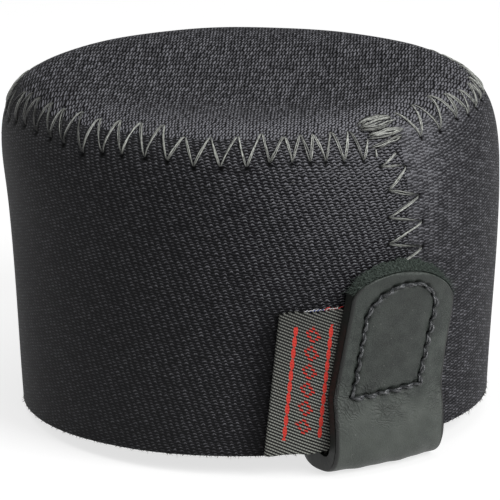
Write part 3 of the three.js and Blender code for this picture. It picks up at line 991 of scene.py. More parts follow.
# %% Thread finish
def thread_finish(name, dark, light, roughness):
    """Satin thread: streaks of uneven tone and painted sheen along it, and painted shade where
    shade says.
    """
    finish = Finish(name, Roughness=roughness, Specular_IOR_Level=0.5)
    along, around = finish.parts(finish.cloth())
    streaks_and_sheen = finish.noise(finish.vector(along * 0.9, around * 5.0), 1.6, 3.0, 0.6)
    tint = finish.mix(streaks_and_sheen.rise(0.35, 0.60), dark, light)
    sunk = tuple(0.12 * c for c in dark[:3]) + (1.0,)
    finish.colour(finish.mix(finish.attribute("shade"), tint, sunk))
    finish.bump(streaks_and_sheen, 0.00004)
    return finish.material


seam_thread = thread_finish("seam_thread", (0.045, 0.048, 0.043, 1), (0.78, 0.80, 0.74, 1), 0.34)
print("thread finish ready")

# %% [markdown]
# ## Zigzag seams
# Each leg of the zigzag comes up out of one needle hole, lies over the butt line and dives into
# the next hole. The path rises steeply at its ends and is nearly flat between, and its three
# filaments spread in the middle and close up at the holes.

# %% Zigzag threads
random = np.random.default_rng(7)
leg_stations, leg_filaments, filament_spread, filament_radius = 17, 3, 0.16, 0.081
leg_lie, leg_dive, leg_twist, thread_sides = 0.15, 0.75, 2.6, 6


def shaded_left(azimuth):
    """1 where the zigzag runs through the shade at the far left, 0 elsewhere, eased between."""
    turned = np.degrees(azimuth)
    return np.clip((300.0 - turned) / 50.0, 0.0, 1.0) * np.clip((turned - 222.0) / 14.0, 0.0, 1.0)


def leg_darkness(t, far_left, leg_round, leg_up, chance):
    """Darkness along the legs: painted shade, most at the holes and at their low ends, and some
    more by chance.

    At the far left, in the shade, all are darker, and a leg that runs level to the right darkens
    along it, also painted shade."""
    rising = leg_up > 0
    low_end = np.where(rising, t, 1 - t)
    dark = np.exp(-np.minimum(t, 1 - t) / 0.12) * 0.8 + 0.25 * np.exp(-low_end / 0.3)
    dark = dark + 0.3 * np.abs(chance) * np.sin(np.pi * t) ** 0.4
    dark = np.clip(dark + far_left * (0.46 + np.where(rising, 0.6 * (1 - t), 0.0)), 0.0, 1.0)
    level = (np.abs(leg_up) < 0.4 * np.abs(leg_round)) & (leg_round > 0)
    return np.where(level, np.clip(dark + 0.15 + 0.75 * t**2, 0.0, 1.0), dark)


def legs_between(holes, inner):
    """Filament paths for every leg of a zigzag.

    Round and up go evenly from hole to hole. Off the surface the leg is at leg_lie, less leg_dive
    where exp(-(end distance / 0.06)) says it is close to a hole. Filament k of n sits at angle
    2 pi k / n + leg_twist t round the leg, filament_spread * sin(pi t)^0.4 from its middle."""
    t = np.linspace(0.0, 1.0, leg_stations)[None, None]
    start, end = holes[:-1, None, None], holes[1:, None, None]
    jitter = random.normal(0.0, 1.0, (len(holes) - 1, leg_filaments, 3))
    k = np.arange(leg_filaments)[None, :, None]
    belly = np.sin(np.pi * t) ** 0.4
    angle = 2 * np.pi * k / leg_filaments + leg_twist * t + jitter[..., 0:1]
    reach = filament_spread * belly * (1 + 0.25 * jitter[..., 1:2])
    azimuth = start[..., 0] + (end[..., 0] - start[..., 0]) * t
    up = start[..., 1] + (end[..., 1] - start[..., 1]) * t
    radius = outline(up)[0]
    leg_round, leg_up = (end[..., 0] - start[..., 0]) * radius, end[..., 1] - start[..., 1]
    leg_length = np.hypot(leg_round, leg_up)
    sideways = reach * np.cos(angle)
    azimuth = azimuth - sideways * leg_up / leg_length / radius
    up = up + sideways * leg_round / leg_length
    near_end = np.exp(-np.minimum(t, 1 - t) / 0.06)
    off = leg_lie + 0.7 * reach * np.sin(angle) - leg_dive * near_end
    off = -off - sheet_thickness if inner else off - 0.8 * groove(azimuth, up)
    azimuth, up, off = np.broadcast_arrays(azimuth, up, off)
    far_left = shaded_left(start[..., 0])
    dark = leg_darkness(t, far_left, leg_round, leg_up, jitter[..., 2:3])
    thin = filament_radius * (0.7 + 0.3 * belly) * (1 - 0.3 * far_left)
    thin = thin * (1 + 0.12 * jitter[..., 0:1])
    paths, away = cap_point(azimuth, up, off), cap_normal(azimuth, up)
    radii, dark = (np.broadcast_to(part, azimuth.shape) for part in (thin / 1000.0, dark))
    flat = (-1, leg_stations)
    return paths.reshape(*flat, 3), away.reshape(*flat, 3), radii.reshape(flat), dark.reshape(flat)


def sew_thread(name, parts, node):
    """One piece of seam thread from its parts: paths, directions off the cloth, radii, darkness."""
    paths, away, radii, dark = (np.concatenate(same) for same in zip(*parts))
    points, faces, cloth, shades = tube_mesh(paths, away, radii, thread_sides, dark)
    piece = dress(name, points, faces, cloth, [seam_thread], shades=shades)
    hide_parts(node)
    return piece


def sew_zigzag(name, runs, node, inner=False):
    """One zigzag seam; its runs are chains of holes."""
    return sew_thread(name, [legs_between(holes, inner) for holes in runs], node)


short_leg = np.array([(math.radians(-2.1), 48.7, 0.0), (math.radians(-2.2), 47.2, 0.0)])
sew_zigzag("crown_zigzag", [crown_holes], "crown_seam_outer_thread")
sew_zigzag("side_zigzag", [side_holes, short_leg], "side_seam_outer_thread")
sew_zigzag("crown_zigzag_inside", [crown_holes], "crown_seam_inner_thread", inner=True)
sew_zigzag("side_zigzag_inside", [side_holes], "side_seam_inner_thread", inner=True)

# %% [markdown]
# ## Bar tack
# Where the two seams meet, the machine has run back and forth into a lump of floss. It lies in
# three bundles, the lowest one askew, each of many strands that bow out of the cloth with gaps
# between them, darkened by painted shade, and no two strands quite agree.

# %% Bar tack
strand_stations = 21


def bundle(left, right, height, strands, lie, bow, inner):
    """Strands from left to right holes (azimuth degrees, up mm), spread over a height.

    Each strand bows off the cloth by lie + bow sqrt(1 - (2 place)^2) sin(pi t)^0.5, fans out in
    the middle, and carries a small wave of its own."""
    t = np.linspace(0.0, 1.0, strand_stations)[None]
    arch = np.sin(np.pi * t)
    place = np.linspace(-0.5, 0.5, strands)[:, None] + random.normal(0, 0.04, (strands, 1))
    ends = random.normal(0.0, 0.7, (strands, 2))
    from_left = np.radians(left[0] + ends[:, :1] * 0.8)
    to_right = np.radians(right[0] + ends[:, 1:])
    azimuth = from_left * (1 - t) + to_right * t
    up = left[1] * (1 - t) + right[1] * t + place * height * (0.45 + 0.55 * arch ** 0.7)
    wave = random.normal(0, 1.0, (strands, 3))
    up = up + 0.14 * np.sin(2 * np.pi * (t * (1 + 0.5 * wave[:, :1]) + wave[:, 1:2])) * arch
    dome = np.sqrt(np.clip(1 - (2 * place) ** 2, 0.0, 1.0))
    near_end = np.exp(-np.minimum(t, 1 - t) / 0.05)
    off = lie + (bow * dome + 0.09 * wave[:, 2:3]) * arch ** 0.5 - 0.8 * near_end
    off = -off - sheet_thickness if inner else off
    azimuth, up, off = np.broadcast_arrays(azimuth, up, off)
    radii = (0.078 + 0.03 * np.abs(wave[:, :1])) / 1000.0 * (0.75 + 0.25 * arch)
    # painted shade: dark where a strand dives in and on the outer strands of each bundle, in the
    # gaps, with an even share all over and a random share per strand
    dark = 0.9 * np.exp(-np.minimum(t, 1 - t) / 0.10) + 0.18 + 0.32 * np.abs(wave[:, 1:2])
    dark = np.clip(dark + 0.75 * (1 - dome) ** 2, 0.0, 1.0)
    return cap_point(azimuth, up, off), cap_normal(azimuth, up), radii, dark


def sew_tack(name, node, inner=False):
    """The three bundles of the tack as one piece."""
    return sew_thread(name, [
        bundle((-3.7, 52.8), (6.6, 53.5), 3.0, 18, 0.20, 0.52, inner),
        bundle((-2.6, 50.7), (7.3, 51.0), 1.25, 10, 0.20, 0.36, inner),
        bundle((-2.3, 48.8), (7.0, 50.0), 0.75, 6, 0.18, 0.26, inner),
    ], node)


sew_tack("bar_tack", "bar_tack_outer_thread")
sew_tack("bar_tack_inside", "bar_tack_inner_thread", inner=True)

# %% [markdown]
# ## Leather strap
# The pull tab is a strap of thick bridle leather folded in a U round the hem. Its middle line
# lies in a plane: up the outside of the wall, round below the hem, and up the inside. The
# skin is that line with a section carried along it, and both tips are cut to a half round whose
# edge slopes back, so a rim of fuzzy flesh side shows above the grain.

# %% Strap line
leather_thickness, outer_leaf_height, inner_leaf_height = 1.9, 30.4, 29.4
tip_depth, tip_room = 6.6, 2.5
loose_height, outer_bow, inner_bow, fold_spread = 8.8, 1.5, 0.6, 4.9
side_bevel, tip_bevel, box_bottom = 0.35, 1.6, 9.6
tab_slope = math.tan(math.radians(9.8))
rest_gap, label_bulk, thread_bulk = 0.2, 0.64, 0.4
outer_leaf_out = rest_gap + label_bulk + rest_gap + leather_thickness / 2
inner_clearance = 2 * rest_gap + thread_bulk
inner_leaf_out = -(sheet_thickness + inner_clearance + leather_thickness / 2)


def off_wall(up, out):
    """A point of the radius and height plane, off the wall."""
    radius, height, normal_r, normal_z = outline(np.array(up))
    return np.array([radius + normal_r * out, height + normal_z * out])


down = -wall_line
across = np.array([-down[1], down[0]])
fold = np.array([fold_radius, -fold_drop + leather_thickness / 2])
outer_tip = off_wall(outer_leaf_height + tip_room, outer_leaf_out)
outer_free = off_wall(loose_height, outer_leaf_out)
inner_free = off_wall(loose_height, inner_leaf_out)
inner_tip = off_wall(inner_leaf_height + tip_room, inner_leaf_out)
outer_pull = outer_free + down * loose_height + across * outer_bow
inner_pull = inner_free + down * loose_height - across * inner_bow
leaf_points, bend_points = 200, 300
strap_points = np.concatenate([
    straight(outer_tip, outer_free, leaf_points)[:-1],
    bezier(outer_free, outer_pull, fold + [fold_spread, 0], fold, bend_points)[:-1],
    bezier(fold, fold - [fold_spread, 0], inner_pull, inner_free, bend_points)[:-1],
    straight(inner_free, inner_tip, leaf_points),
])
strap_along, strap_tangent = measured(strap_points)
strap_length = float(strap_along[-1])
fold_at = float(strap_along[leaf_points + bend_points - 2])


def strap_middle(height):
    """Round distance of the strap's middle: straight up to the box, then leaning right."""
    return strap_shift + tab_slope * np.maximum(height - box_bottom, 0.0)


def strap_place(distance, sideways, off):
    """World point on the strap: distance along its line, sideways round the wall, off its middle.

    Where the strap leans, its cross rows are tipped to match, and it follows the wall's lumps."""
    height = np.interp(distance, strap_along, strap_points[:, 1])
    tip_up = tab_slope * np.clip(height / box_bottom, 0.0, 1.0)
    moved = distance + np.where(distance < strap_length / 2, 1.0, -1.0) * tip_up * sideways
    radius, height = (np.interp(moved, strap_along, column) for column in strap_points.T)
    tangent_r, tangent_z = (np.interp(distance, strap_along, column) for column in strap_tangent.T)
    azimuth = (strap_middle(height) + sideways) / radius
    radius_off = radius - tangent_z * off + lumps(azimuth, np.maximum(height, 0.0))
    place = round_cap(azimuth, radius_off, height + tangent_r * off)
    return place, strap_middle(height) + sideways, height


print("strap", round(strap_length, 1), "mm long,", strap_width, "mm wide")

# %% [markdown]
# ## Stitch box
# A waxed black thread runs round an arched box through both leaves. It bites into the leather,
# so the box edge is a small trench and the leather inside it swells a little.

# %% Stitch box
box_width, box_shoulder, box_top = 13.2, 21.8, 26.8
box_shift, stitch_length = -0.9, 2.15


def box_taper(aside, height):
    """How far the box moves round and up: its left side in by 0.5 mm, its right side in by 0.9 mm
    at the bottom, and its bottom row 0.3 mm down at the left and 0.3 mm up at the right."""
    low = 1 - np.clip((height - box_bottom) / (box_shoulder - box_bottom), 0.0, 1.0)
    place = np.clip(aside / (box_width / 2), -1.0, 1.0)
    return np.where(place < 0, -0.5 * place, -0.9 * low * place), 0.3 * low * place


def stitch_path():
    """The box as closely spaced (round, up) points: a rectangle under half an ellipse, tapered."""
    half = box_width / 2
    turn = np.linspace(0.0, np.pi, 120)
    arch_up = box_shoulder + (box_top - box_shoulder) * np.sin(turn)
    arch = np.stack([half * np.cos(turn), arch_up], -1)
    corners = [np.array([half, box_bottom]), np.array([half, box_shoulder])]
    left = [np.array([-half, box_shoulder]), np.array([-half, box_bottom])]
    aside, height = np.concatenate([
        straight(left[1], corners[0], 60)[:-1], straight(*corners, 60)[:-1],
        arch[:-1], straight(*left, 60),
    ]).T
    pull, climb = box_taper(aside, height)
    return np.stack([strap_middle(height) + box_shift + aside + pull, height + climb], -1)


box_path = stitch_path()
box_along = np.concatenate([[0.0], np.cumsum(np.hypot(*np.diff(box_path, axis=0).T))])
stitch_count = int(round(box_along[-1] / stitch_length))
needle_along = np.linspace(0.0, box_along[-1], stitch_count + 1)[:-1]
box_needles = np.stack([np.interp(needle_along, box_along, box_path[:, k]) for k in range(2)], -1)


def box_relief(around, up):
    """Height of the grain in mm: a trench 0.26 exp(-(d/0.45)^2) deep, needle pits, and a swell
    inside the box. Then the distance to the path, the nearness of a needle, and what is inside."""
    off = np.stack([around, up], -1)[..., None, :] - box_path[::3]
    near = np.sqrt((off**2).sum(-1).min(-1))
    pits = np.stack([around, up], -1)[..., None, :] - box_needles
    pit = np.exp(-(pits**2).sum(-1) / 0.45**2).sum(-1)
    middle = strap_middle(up) + box_shift
    into_arch = np.maximum(up - box_shoulder, 0) / (box_top - box_shoulder)
    half = box_width / 2 * np.sqrt(np.clip(1 - into_arch**2, 0, 1))
    inside = (np.abs(around - middle) < half) & (up > box_bottom)
    swell = np.where(inside, 0.16 * (1 - np.exp(-near / 1.2)), 0.05 * np.exp(-near / 1.5))
    trench = 0.26 * np.exp(-((near / 0.45) ** 2))
    return swell - trench - 0.45 * np.minimum(pit, 1.0), near, pit, inside


print(stitch_count, "stitches of", round(box_along[-1] / stitch_count, 2), "mm")

# %% [markdown]
# ## The strap's skin
# A thick strap shows its section: a flat grain side, two cut edges and a flesh side. So rings of
# points are carried along the line, and at both tips they narrow to a half round and lean over,
# which leaves the sloping rim that a knife held askew has cut.

# %% Strap skin
def half_width(from_tip, bevel):
    """Half the strap's width d mm from a tip: (w/2 - bevel) sqrt(1 - (1 - d/depth)^2)."""
    short = np.clip(1 - from_tip / tip_depth, 0.0, 1.0)
    return (strap_width / 2 - bevel) * np.sqrt(np.maximum(1 - short**2, 1e-4))


def strap_skin(rows_tip, rows_middle, face_columns, rim_columns, back_columns):
    """Points round the strap's section at each station: face, right rim, back, left rim.

    At the tips three sines across the strap move the flesh side's edge to and fro."""
    tip = tip_room + tip_depth * (1 - np.cos(np.linspace(0.04, np.pi / 2, rows_tip)))
    middle = np.linspace(tip[-1], strap_length - tip[-1], rows_middle)
    station = np.concatenate([tip[:-1], middle, (strap_length - tip[:-1])[::-1]])
    from_tip = np.minimum(station, strap_length - station) - tip_room
    tip_share = np.clip(1 - from_tip / tip_depth, 0.0, 1.0)
    bevel = side_bevel + (tip_bevel - side_bevel) * tip_share**2
    slide = tip_bevel * tip_share * np.where(station < strap_length / 2, 1.0, -1.0)
    face_half, back_half = half_width(from_tip, bevel), half_width(from_tip, 0.0)
    share = np.sin(np.pi / 2 * np.linspace(-1.0, 1.0, face_columns))
    rim = np.linspace(0.0, 1.0, rim_columns + 2)[1:-1]
    back_share = np.linspace(1.0, -1.0, back_columns)
    column = lambda v: v[:, None]
    face_side = column(face_half) * share
    face_at = column(station + slide) + 0 * share
    right_side = column(face_half) * (1 - rim) + column(back_half) * rim
    rim_at = column(station + slide) * (1 - rim) + column(station) * rim
    back_side = column(back_half) * back_share
    back_at = column(station) + 0 * back_share
    sideways = np.concatenate([face_side, right_side, back_side, -right_side[:, ::-1]], axis=1)
    distance = np.concatenate([face_at, rim_at, back_at, rim_at[:, ::-1]], axis=1)
    depth = np.concatenate([0 * share, rim, 0 * back_share + 1, rim[::-1]])
    torn = 0.16 * np.sin(1.7 * sideways + 1.0) + 0.12 * np.sin(4.3 * sideways)
    torn = torn + 0.08 * np.sin(9.7 * sideways + 2.0)
    distance = distance + torn * depth * column(tip_share)
    kinds = np.repeat([0, 1, 2, 1], [face_columns, rim_columns, back_columns, rim_columns])
    return station, sideways, distance, depth, kinds, face_half


station, sideways, distance, depth, strap_kinds, face_half = strap_skin(36, 230, 96, 7, 40)
on_face = strap_kinds == 0
beside = face_half[:, None] - np.abs(sideways)
from_tip = np.minimum(distance, strap_length - distance) - tip_room - tip_bevel
from_edge = np.maximum(np.minimum(beside, from_tip), 0.0)
edge_radius = 0.45
curl = np.clip(beside / edge_radius, 0.0, 1.0)
drop = edge_radius * (1 - np.sqrt(1 - (1 - curl) ** 2))
fill = 1.5 * np.exp(-(((distance - fold_at) / 3.2) ** 2))
sag = leather_thickness / 2 - depth * (leather_thickness + fill)
_, around, face_up = strap_place(distance, sideways, 0.0 * distance)
sewn, near_stitch, near_needle, in_box = box_relief(around, np.where(face_up > 0, face_up, -50.0))
waves = 0.05 * np.sin(0.9 * sideways + 0.5 * distance)
waves = waves + 0.04 * np.sin(1.7 * sideways - 0.8 * distance + 1.0)
off = sag + np.where(on_face, sewn + waves - drop, 0.0)
strap_world = strap_place(distance, sideways, off)[0].reshape(-1, 3)
print("strap skin", sideways.shape, "lowest", round(float(strap_world[:, 2].min()) * 1000, 3), "mm")
strap_world[:, 2] = np.maximum(strap_world[:, 2], 0.00001)  # the fold is pressed flat on the table

# %% [markdown]
# ## Leather finish
# The grain side is a waxed dark green-grey with fine pores and, where it bends below the box,
# a fan of shallow arc creases. The cut edge is burnished smooth and black. The flesh side is a
# dull, fibrous green.

# %% Leather finishes
def grain_finish():
    """Grain leather: mottled colour, pores, specks of dust, creases under the box, and painted
    light below it.
    """
    finish = Finish("leather_grain", Roughness=0.52, Specular_IOR_Level=0.45)
    cloth = finish.cloth()
    across_strap, along_strap = finish.parts(cloth)
    fine = finish.noise(cloth, 5.0, 4.0, 0.65)
    tone = finish.noise(cloth, 0.35, 4.0, 0.6) * 0.4 + fine * 0.6
    tint = finish.mix(tone.rise(0.40, 0.60), (0.012, 0.016, 0.014, 1), (0.053, 0.063, 0.055, 1))
    toward_tip = along_strap.fall(1.0, 10.0)
    tint = finish.mix(toward_tip * 0.7, tint, (0.012, 0.016, 0.013, 1))
    dust = finish.spots(cloth, 0.75).fall(0.04, 0.10)
    tint = finish.mix(dust * 0.55, tint, (0.22, 0.23, 0.21, 1))
    # a pale line along the grain's edge
    pale_edge = finish.attribute("skew") * finish.noise(cloth, 2.2, 3.0).rise(0.3, 0.7)
    tint = finish.mix(pale_edge * 0.7, tint, (0.14, 0.16, 0.145, 1))
    # painted light on the leather below the box
    painted_lighting = along_strap.rise(19.5, 25.0) * finish.noise(cloth, 0.22, 2.0)
    tint = finish.mix(painted_lighting * 0.9, tint, (0.099, 0.110, 0.098, 1))
    aside, below = across_strap - 2.5, along_strap - 12.5
    from_middle = (aside * aside + below * below).math("SQRT")
    ripple = ((finish.noise(cloth, 0.5, 3.0) * 3.6 + from_middle) * 10.0).math("SINE")
    under_box = along_strap.rise(17.8, 20.5) * along_strap.fall(23.5, 29.0)
    crease = ripple * under_box * finish.noise(cloth, 0.28, 2.0).rise(0.34, 0.60)
    tint = finish.mix(crease.math("MAXIMUM", 0.0) * 0.22, tint, (0.13, 0.14, 0.13, 1))
    # the shade attribute takes the grain towards black: the burnished edge and painted shade
    finish.colour(finish.mix(finish.attribute("shade"), tint, (0.008, 0.009, 0.008, 1)))
    pores = finish.spots(cloth, 4.2).rise(0.0, 0.6) * 0.5 + fine * 0.6
    finish.bump(pores, 0.00006, finish.bump(crease, 0.00006))
    return finish.material


def edge_finish():
    """Burnished black edge, faintly streaked."""
    finish = Finish("leather_edge", Roughness=0.5, Specular_IOR_Level=0.35)
    streak = finish.noise(finish.cloth(), 2.2, 3.0)
    finish.colour(finish.mix(streak, (0.005, 0.006, 0.005, 1), (0.022, 0.025, 0.022, 1)))
    finish.bump(streak, 0.00005)
    return finish.material


def flesh_finish():
    """Fuzzy flesh side: matted dark green fibres."""
    finish = Finish("leather_flesh", Roughness=0.95, Specular_IOR_Level=0.1)
    fibres = finish.noise(finish.cloth(), 3.6, 6.0, 0.75)
    matted = fibres.rise(0.38, 0.66)
    finish.colour(finish.mix(matted, (0.010, 0.013, 0.011, 1), (0.088, 0.110, 0.095, 1)))
    finish.bump(fibres, 0.0003)
    return finish.material


leather_grain, leather_edge, leather_flesh = grain_finish(), edge_finish(), flesh_finish()
print("leather finishes ready")

# %% [markdown]
# ## The tab as a piece
# Each quad of the skin takes the finish of where it lies: grain on the face, burnished black
# along the sides, flesh on the back and on the sloping tips. The mesh also carries where the
# leather is dark: painted shade in the trench, the needle pits and inside the box, and burnished
# black along its sides; and where its edge is pale.

# %% Pull tab
rows, columns = sideways.shape
strap_quads = grid_faces(rows, columns, wrap=True)[:, ::-1]
next_kinds = np.roll(strap_kinds, -1)
on_rim = np.maximum(strap_kinds, next_kinds) == 1
quad_kinds = np.tile(np.where(on_rim, 1, np.minimum(strap_kinds, next_kinds)), rows - 1)
from_ends = np.minimum(station, strap_length - station)
tip_zone = np.repeat((from_ends < tip_room + 0.8 * tip_depth)[:-1], columns)
quad_kinds = np.where((quad_kinds == 1) & tip_zone, 2, quad_kinds)
strap_ends = [list(range(columns)), list(range((rows - 1) * columns, rows * columns))[::-1]]
strap_cloth = np.stack([sideways, distance - tip_room], -1).reshape(-1, 2)
on_side = np.clip((from_ends[:, None] - tip_room - 2.0) / 3.0, 0.0, 1.0)
burnish = on_side * np.clip((0.75 - beside) / 0.3, 0.0, 1.0) * on_face
# painted shade in the stitch trench, the needle pits and inside the box; the burnish is the edge's
# own black
trench = 0.55 * np.exp(-((near_stitch / 0.34) ** 2))
painted_hollow_shade = np.maximum(trench, np.clip(1.2 * near_needle, 0.0, 1.0)) * on_face
painted_box_shade = 0.40 * in_box * (1 - np.exp(-near_stitch / 1.5)) * on_face
dark_leather = np.clip(np.maximum(np.maximum(burnish, painted_hollow_shade), painted_box_shade), 0.0, 1.0).ravel()
# a pale line along the grain's edge, where the face rounds over
pale_edge_line = (np.exp(-(((from_edge - 0.30) / 0.22) ** 2)) * on_face * (1 - burnish)).ravel()
pull_tab = dress(
    "pull_tab_leather", strap_world, strap_quads.tolist() + strap_ends, strap_cloth,
    [leather_grain, leather_edge, leather_flesh], quad_kinds.tolist() + [2, 2],
    dark_leather, pale_edge_line)
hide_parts("pull_tab")

# %% [markdown]
# ## Lockstitch
# The tab's thread is two waxed plies laid together. Each stitch is a short hump between two
# needle pits, so light catches its back and its ends sink out of sight.

# %% Lockstitch
# the tab thread's light colour paints glints on the black thread
tab_thread = thread_finish("tab_thread", (0.004, 0.004, 0.005, 1), (0.105, 0.110, 0.115, 1), 0.20)
stitch_stations, ply_sides, ply_spread = 19, 8, 0.17


def lockstitch(name, node, leaf_out, side):
    """Two plies per stitch: hump (1 - |2t - 1|^2.4) between pits, plies turning half round.

    Each stitch is pulled a little to one side and a little tighter or looser, by chance."""
    by_hand = np.random.default_rng(31).normal(0.0, 1.0, (stitch_count, 3))
    t = np.linspace(0.0, 1.0, stitch_stations)
    along = np.mod(needle_along[:, None] + (box_along[-1] / stitch_count) * t, box_along[-1])
    ahead = np.mod(along + 0.05, box_along[-1])
    around_box, up = (np.interp(along, box_along, part) for part in box_path.T)
    step_round = np.interp(ahead, box_along, box_path[:, 0]) - around_box
    step_up = np.interp(ahead, box_along, box_path[:, 1]) - up
    step = np.maximum(np.hypot(step_round, step_up), 1e-6)
    hump = 1 - np.abs(2 * t - 1) ** 2.4
    opened = 0.3 + 0.7 * hump
    paths, away, radii = [], [], []
    for ply in (0.0, np.pi):
        angle = ply + np.pi * t + 0.4 + 0.3 * np.sin(2.4 * np.arange(stitch_count))[:, None]
        aside = ply_spread * np.cos(angle) * opened
        aside = aside + 0.07 * by_hand[:, :1] * hump
        lift = 0.21 * np.sin(angle) * opened + (0.70 + 0.06 * by_hand[:, 1:2]) * hump - 0.50
        radius, _, normal_r, _ = outline(up)
        azimuth = (around_box - aside * step_up / step) / (radius + normal_r * leaf_out)
        reach = leaf_out + side * (leather_thickness / 2 + lift) + lumps(azimuth, up)
        here = up + aside * step_round / step
        radius, height, normal_r, normal_z = outline(here)
        paths.append(round_cap(azimuth, radius + normal_r * reach, height + normal_z * reach))
        away.append(cap_normal(azimuth, here))
        radii.append((0.125 + 0.10 * hump + 0.012 * by_hand[:, 2:] * hump) / 1000.0)
    tubes = (np.concatenate(part) for part in (paths, away, radii))
    points, faces, cloth, _ = tube_mesh(*tubes, ply_sides)
    piece = dress(name, points, faces, cloth, [tab_thread])
    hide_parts(node)
    return piece


lockstitch("lockstitch_outside", "tab_stitch_outer", outer_leaf_out, 1.0)
lockstitch("lockstitch_inside", "tab_stitch_inner", inner_leaf_out, -1.0)

# %% [markdown]
# ## Woven label
# The label is a ribbed ribbon, folded in two with both cut ends under the leather. It was caught
# a little askew, so its ribs slope down towards the leather. Two broken red stripes and a row
# of little red diamonds are woven in.

# %% Ribbon finish
rib_pitch = 0.458
stripe_places = (2.8, 8.3)
label_slant = math.radians(24.7)


def diamonds(across, row, rib):
    """The row of small diamonds: a ring of |across| / 1.25 + 2.25 |beat| between 0.6 and 1."""
    step = row * rib_pitch
    column = (across / 0.22).math("FLOOR") * 0.22
    aside = (column - (sum(stripe_places) / 2 - 0.1)).math("ABSOLUTE")
    beat = (((step - 2.75) / 2.73).math("FRACT") - 0.5).math("ABSOLUTE")
    ring = aside / 1.25 + beat * 2.25
    whole = step.rise(2.5, 2.8) * step.fall(18.9, 19.2)
    return ring.rise(0.55, 0.6) * ring.fall(1.0, 1.05) * rib.rise(0.2, 0.5) * whole


def stripe(across, along, place):
    """One broken stripe: lenses of half width 0.34 sqrt(1.02 - 4 f^2), f the place in a lens."""
    f = (along / 1.68).math("FRACT") - 0.5
    lens = (1.02 - f * f * 4.0).math("SQRT")
    return ((across - place).math("ABSOLUTE") - lens * 0.34).fall(-0.04, 0.04)


def ribbon_finish():
    """Grey ribs on black, with red floats: long lenses in two stripes, small diamonds between."""
    finish = Finish("woven_ribbon", Roughness=0.55, Specular_IOR_Level=0.2)
    cloth = finish.cloth()
    across, along = finish.parts(cloth)
    rib = (along * (2 * math.pi / rib_pitch)).math("SINE") * 0.5 + 0.5
    row = (along / rib_pitch).math("FLOOR")
    beads = ((across / 0.40 + row * 0.5) * (2 * math.pi)).math("SINE") * 0.32 + 0.68
    # painted light and shade: the ribs are lighter towards the bottom of the label and darker
    # towards its top and left
    level = (across - 6.0) * -math.sin(label_slant) + along
    yarn = (rib.rise(0.35, 0.95) * beads * (level * -0.033 + 1.42)).clamped()
    tint = finish.mix(yarn, (0.003, 0.003, 0.003, 1), (0.37, 0.38, 0.34, 1))
    left, right = (stripe(across, along, place) for place in stripe_places)
    red = left.math("MAXIMUM", right).math("MAXIMUM", diamonds(across, row, rib))
    red = red * (level.rise(2.4, 2.6) * level.fall(19.4, 19.6))
    tone = finish.noise(cloth, 3.0, 2.0)
    red_thread = finish.mix(tone, (0.55, 0.03, 0.022, 1), (0.85, 0.07, 0.05, 1))
    finish.colour(finish.mix(red, tint, red_thread))
    finish.bump(yarn * 0.8 + red * 0.5, 0.00009)
    return finish.material


ribbon = ribbon_finish()
print("ribbon finish ready")

# %% [markdown]
# ## Folding the ribbon
# The label is one strip, bent double. Its path starts under the leather, runs out along the
# wall, turns at the fold and comes back on top of itself, so one slab can follow it all the way.

# %% Folded label
ribbon_thickness, ply_gap = 0.28, 0.08
label_bottom, label_height, label_tuck, hinge_margin = 0.3, 23.4, 5.0, 0.9
label_fold_at_hem, label_slope = -20.4, math.tan(math.radians(5.2))


def label_fold(up):
    """Round distance of the free fold at a height."""
    return label_fold_at_hem + label_slope * up


def label_bend(up):
    """Round distance of the line where the label leaves the leather."""
    return strap_shift - strap_width / 2 - hinge_margin + label_slope * (up - box_bottom)


def label_skin(rows, run, turn_steps):
    """The ribbon's path at each height: in under the leather, out to the fold, round and back."""
    ups = np.linspace(label_bottom, label_bottom + label_height, rows)
    half_ply, radius = ribbon_thickness / 2, (ribbon_thickness + ply_gap) / 2
    near_out = rest_gap + half_ply
    root = label_bend(ups) + hinge_margin + label_tuck
    turn = label_fold(ups) + radius + half_ply
    share = np.linspace(0.0, 1.0, run)
    inward = root[:, None] + (turn - root)[:, None] * share
    angle = np.linspace(-np.pi / 2, -1.5 * np.pi, turn_steps)[1:-1]
    belly = 0.16 * np.sin(np.pi * share) ** 2
    sides = []
    for offset in (half_ply, -half_ply):
        round_turn = turn[:, None] + np.cos(angle) * (radius + offset)
        out_turn = near_out + radius + np.sin(angle) * (radius + offset) + 0 * turn[:, None]
        out_back = near_out + 2 * radius + offset + belly[::-1] + 0 * inward
        rounds = np.concatenate([inward, round_turn, inward[:, ::-1]], 1)
        outs = np.concatenate([near_out - offset + 0 * inward, out_turn, out_back], 1)
        sides.append((rounds, outs))
    return ups, sides


label_ups, label_sides = label_skin(70, 26, 9)
first_rounds = label_sides[0][0]
up_grid = label_ups[:, None] + 0 * first_rounds
ragged = 0.10 * np.sin(11.0 * first_rounds) + 0.06 * np.sin(23.0 * first_rounds + 1.0)
from_cut = np.minimum(label_ups - label_ups[0], label_ups[-1] - label_ups)
up_grid = up_grid + ragged * np.clip(1 - from_cut / 0.6, 0, 1)[:, None]
grids = [cap_point(rounds / outline(up_grid)[0], up_grid, outs) for rounds, outs in label_sides]
unrolled = first_rounds - label_fold(label_ups)[:, None]
along_axis = up_grid * math.cos(label_slant) + (unrolled - 6.0) * math.sin(label_slant)
label_cloth = np.stack([unrolled, along_axis], -1)
faces, _ = slab_faces(*up_grid.shape)
points, both, _ = stack_sides(*grids, label_cloth, 0 * up_grid)
label = dress(
    "woven_label", points, faces[:, ::-1].tolist(), both, [ribbon], body=None)
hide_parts("label_flap", "label_root")

# %% [markdown]
# ## Where the label bends
# A ribbon has no pin to turn on: it bends along the edge of the leather. Here two points are
# found on either side of that edge, and the label's placement is baked into its mesh.

# %% The label's hinge
middle_up = np.array(label_bottom + label_height / 2)


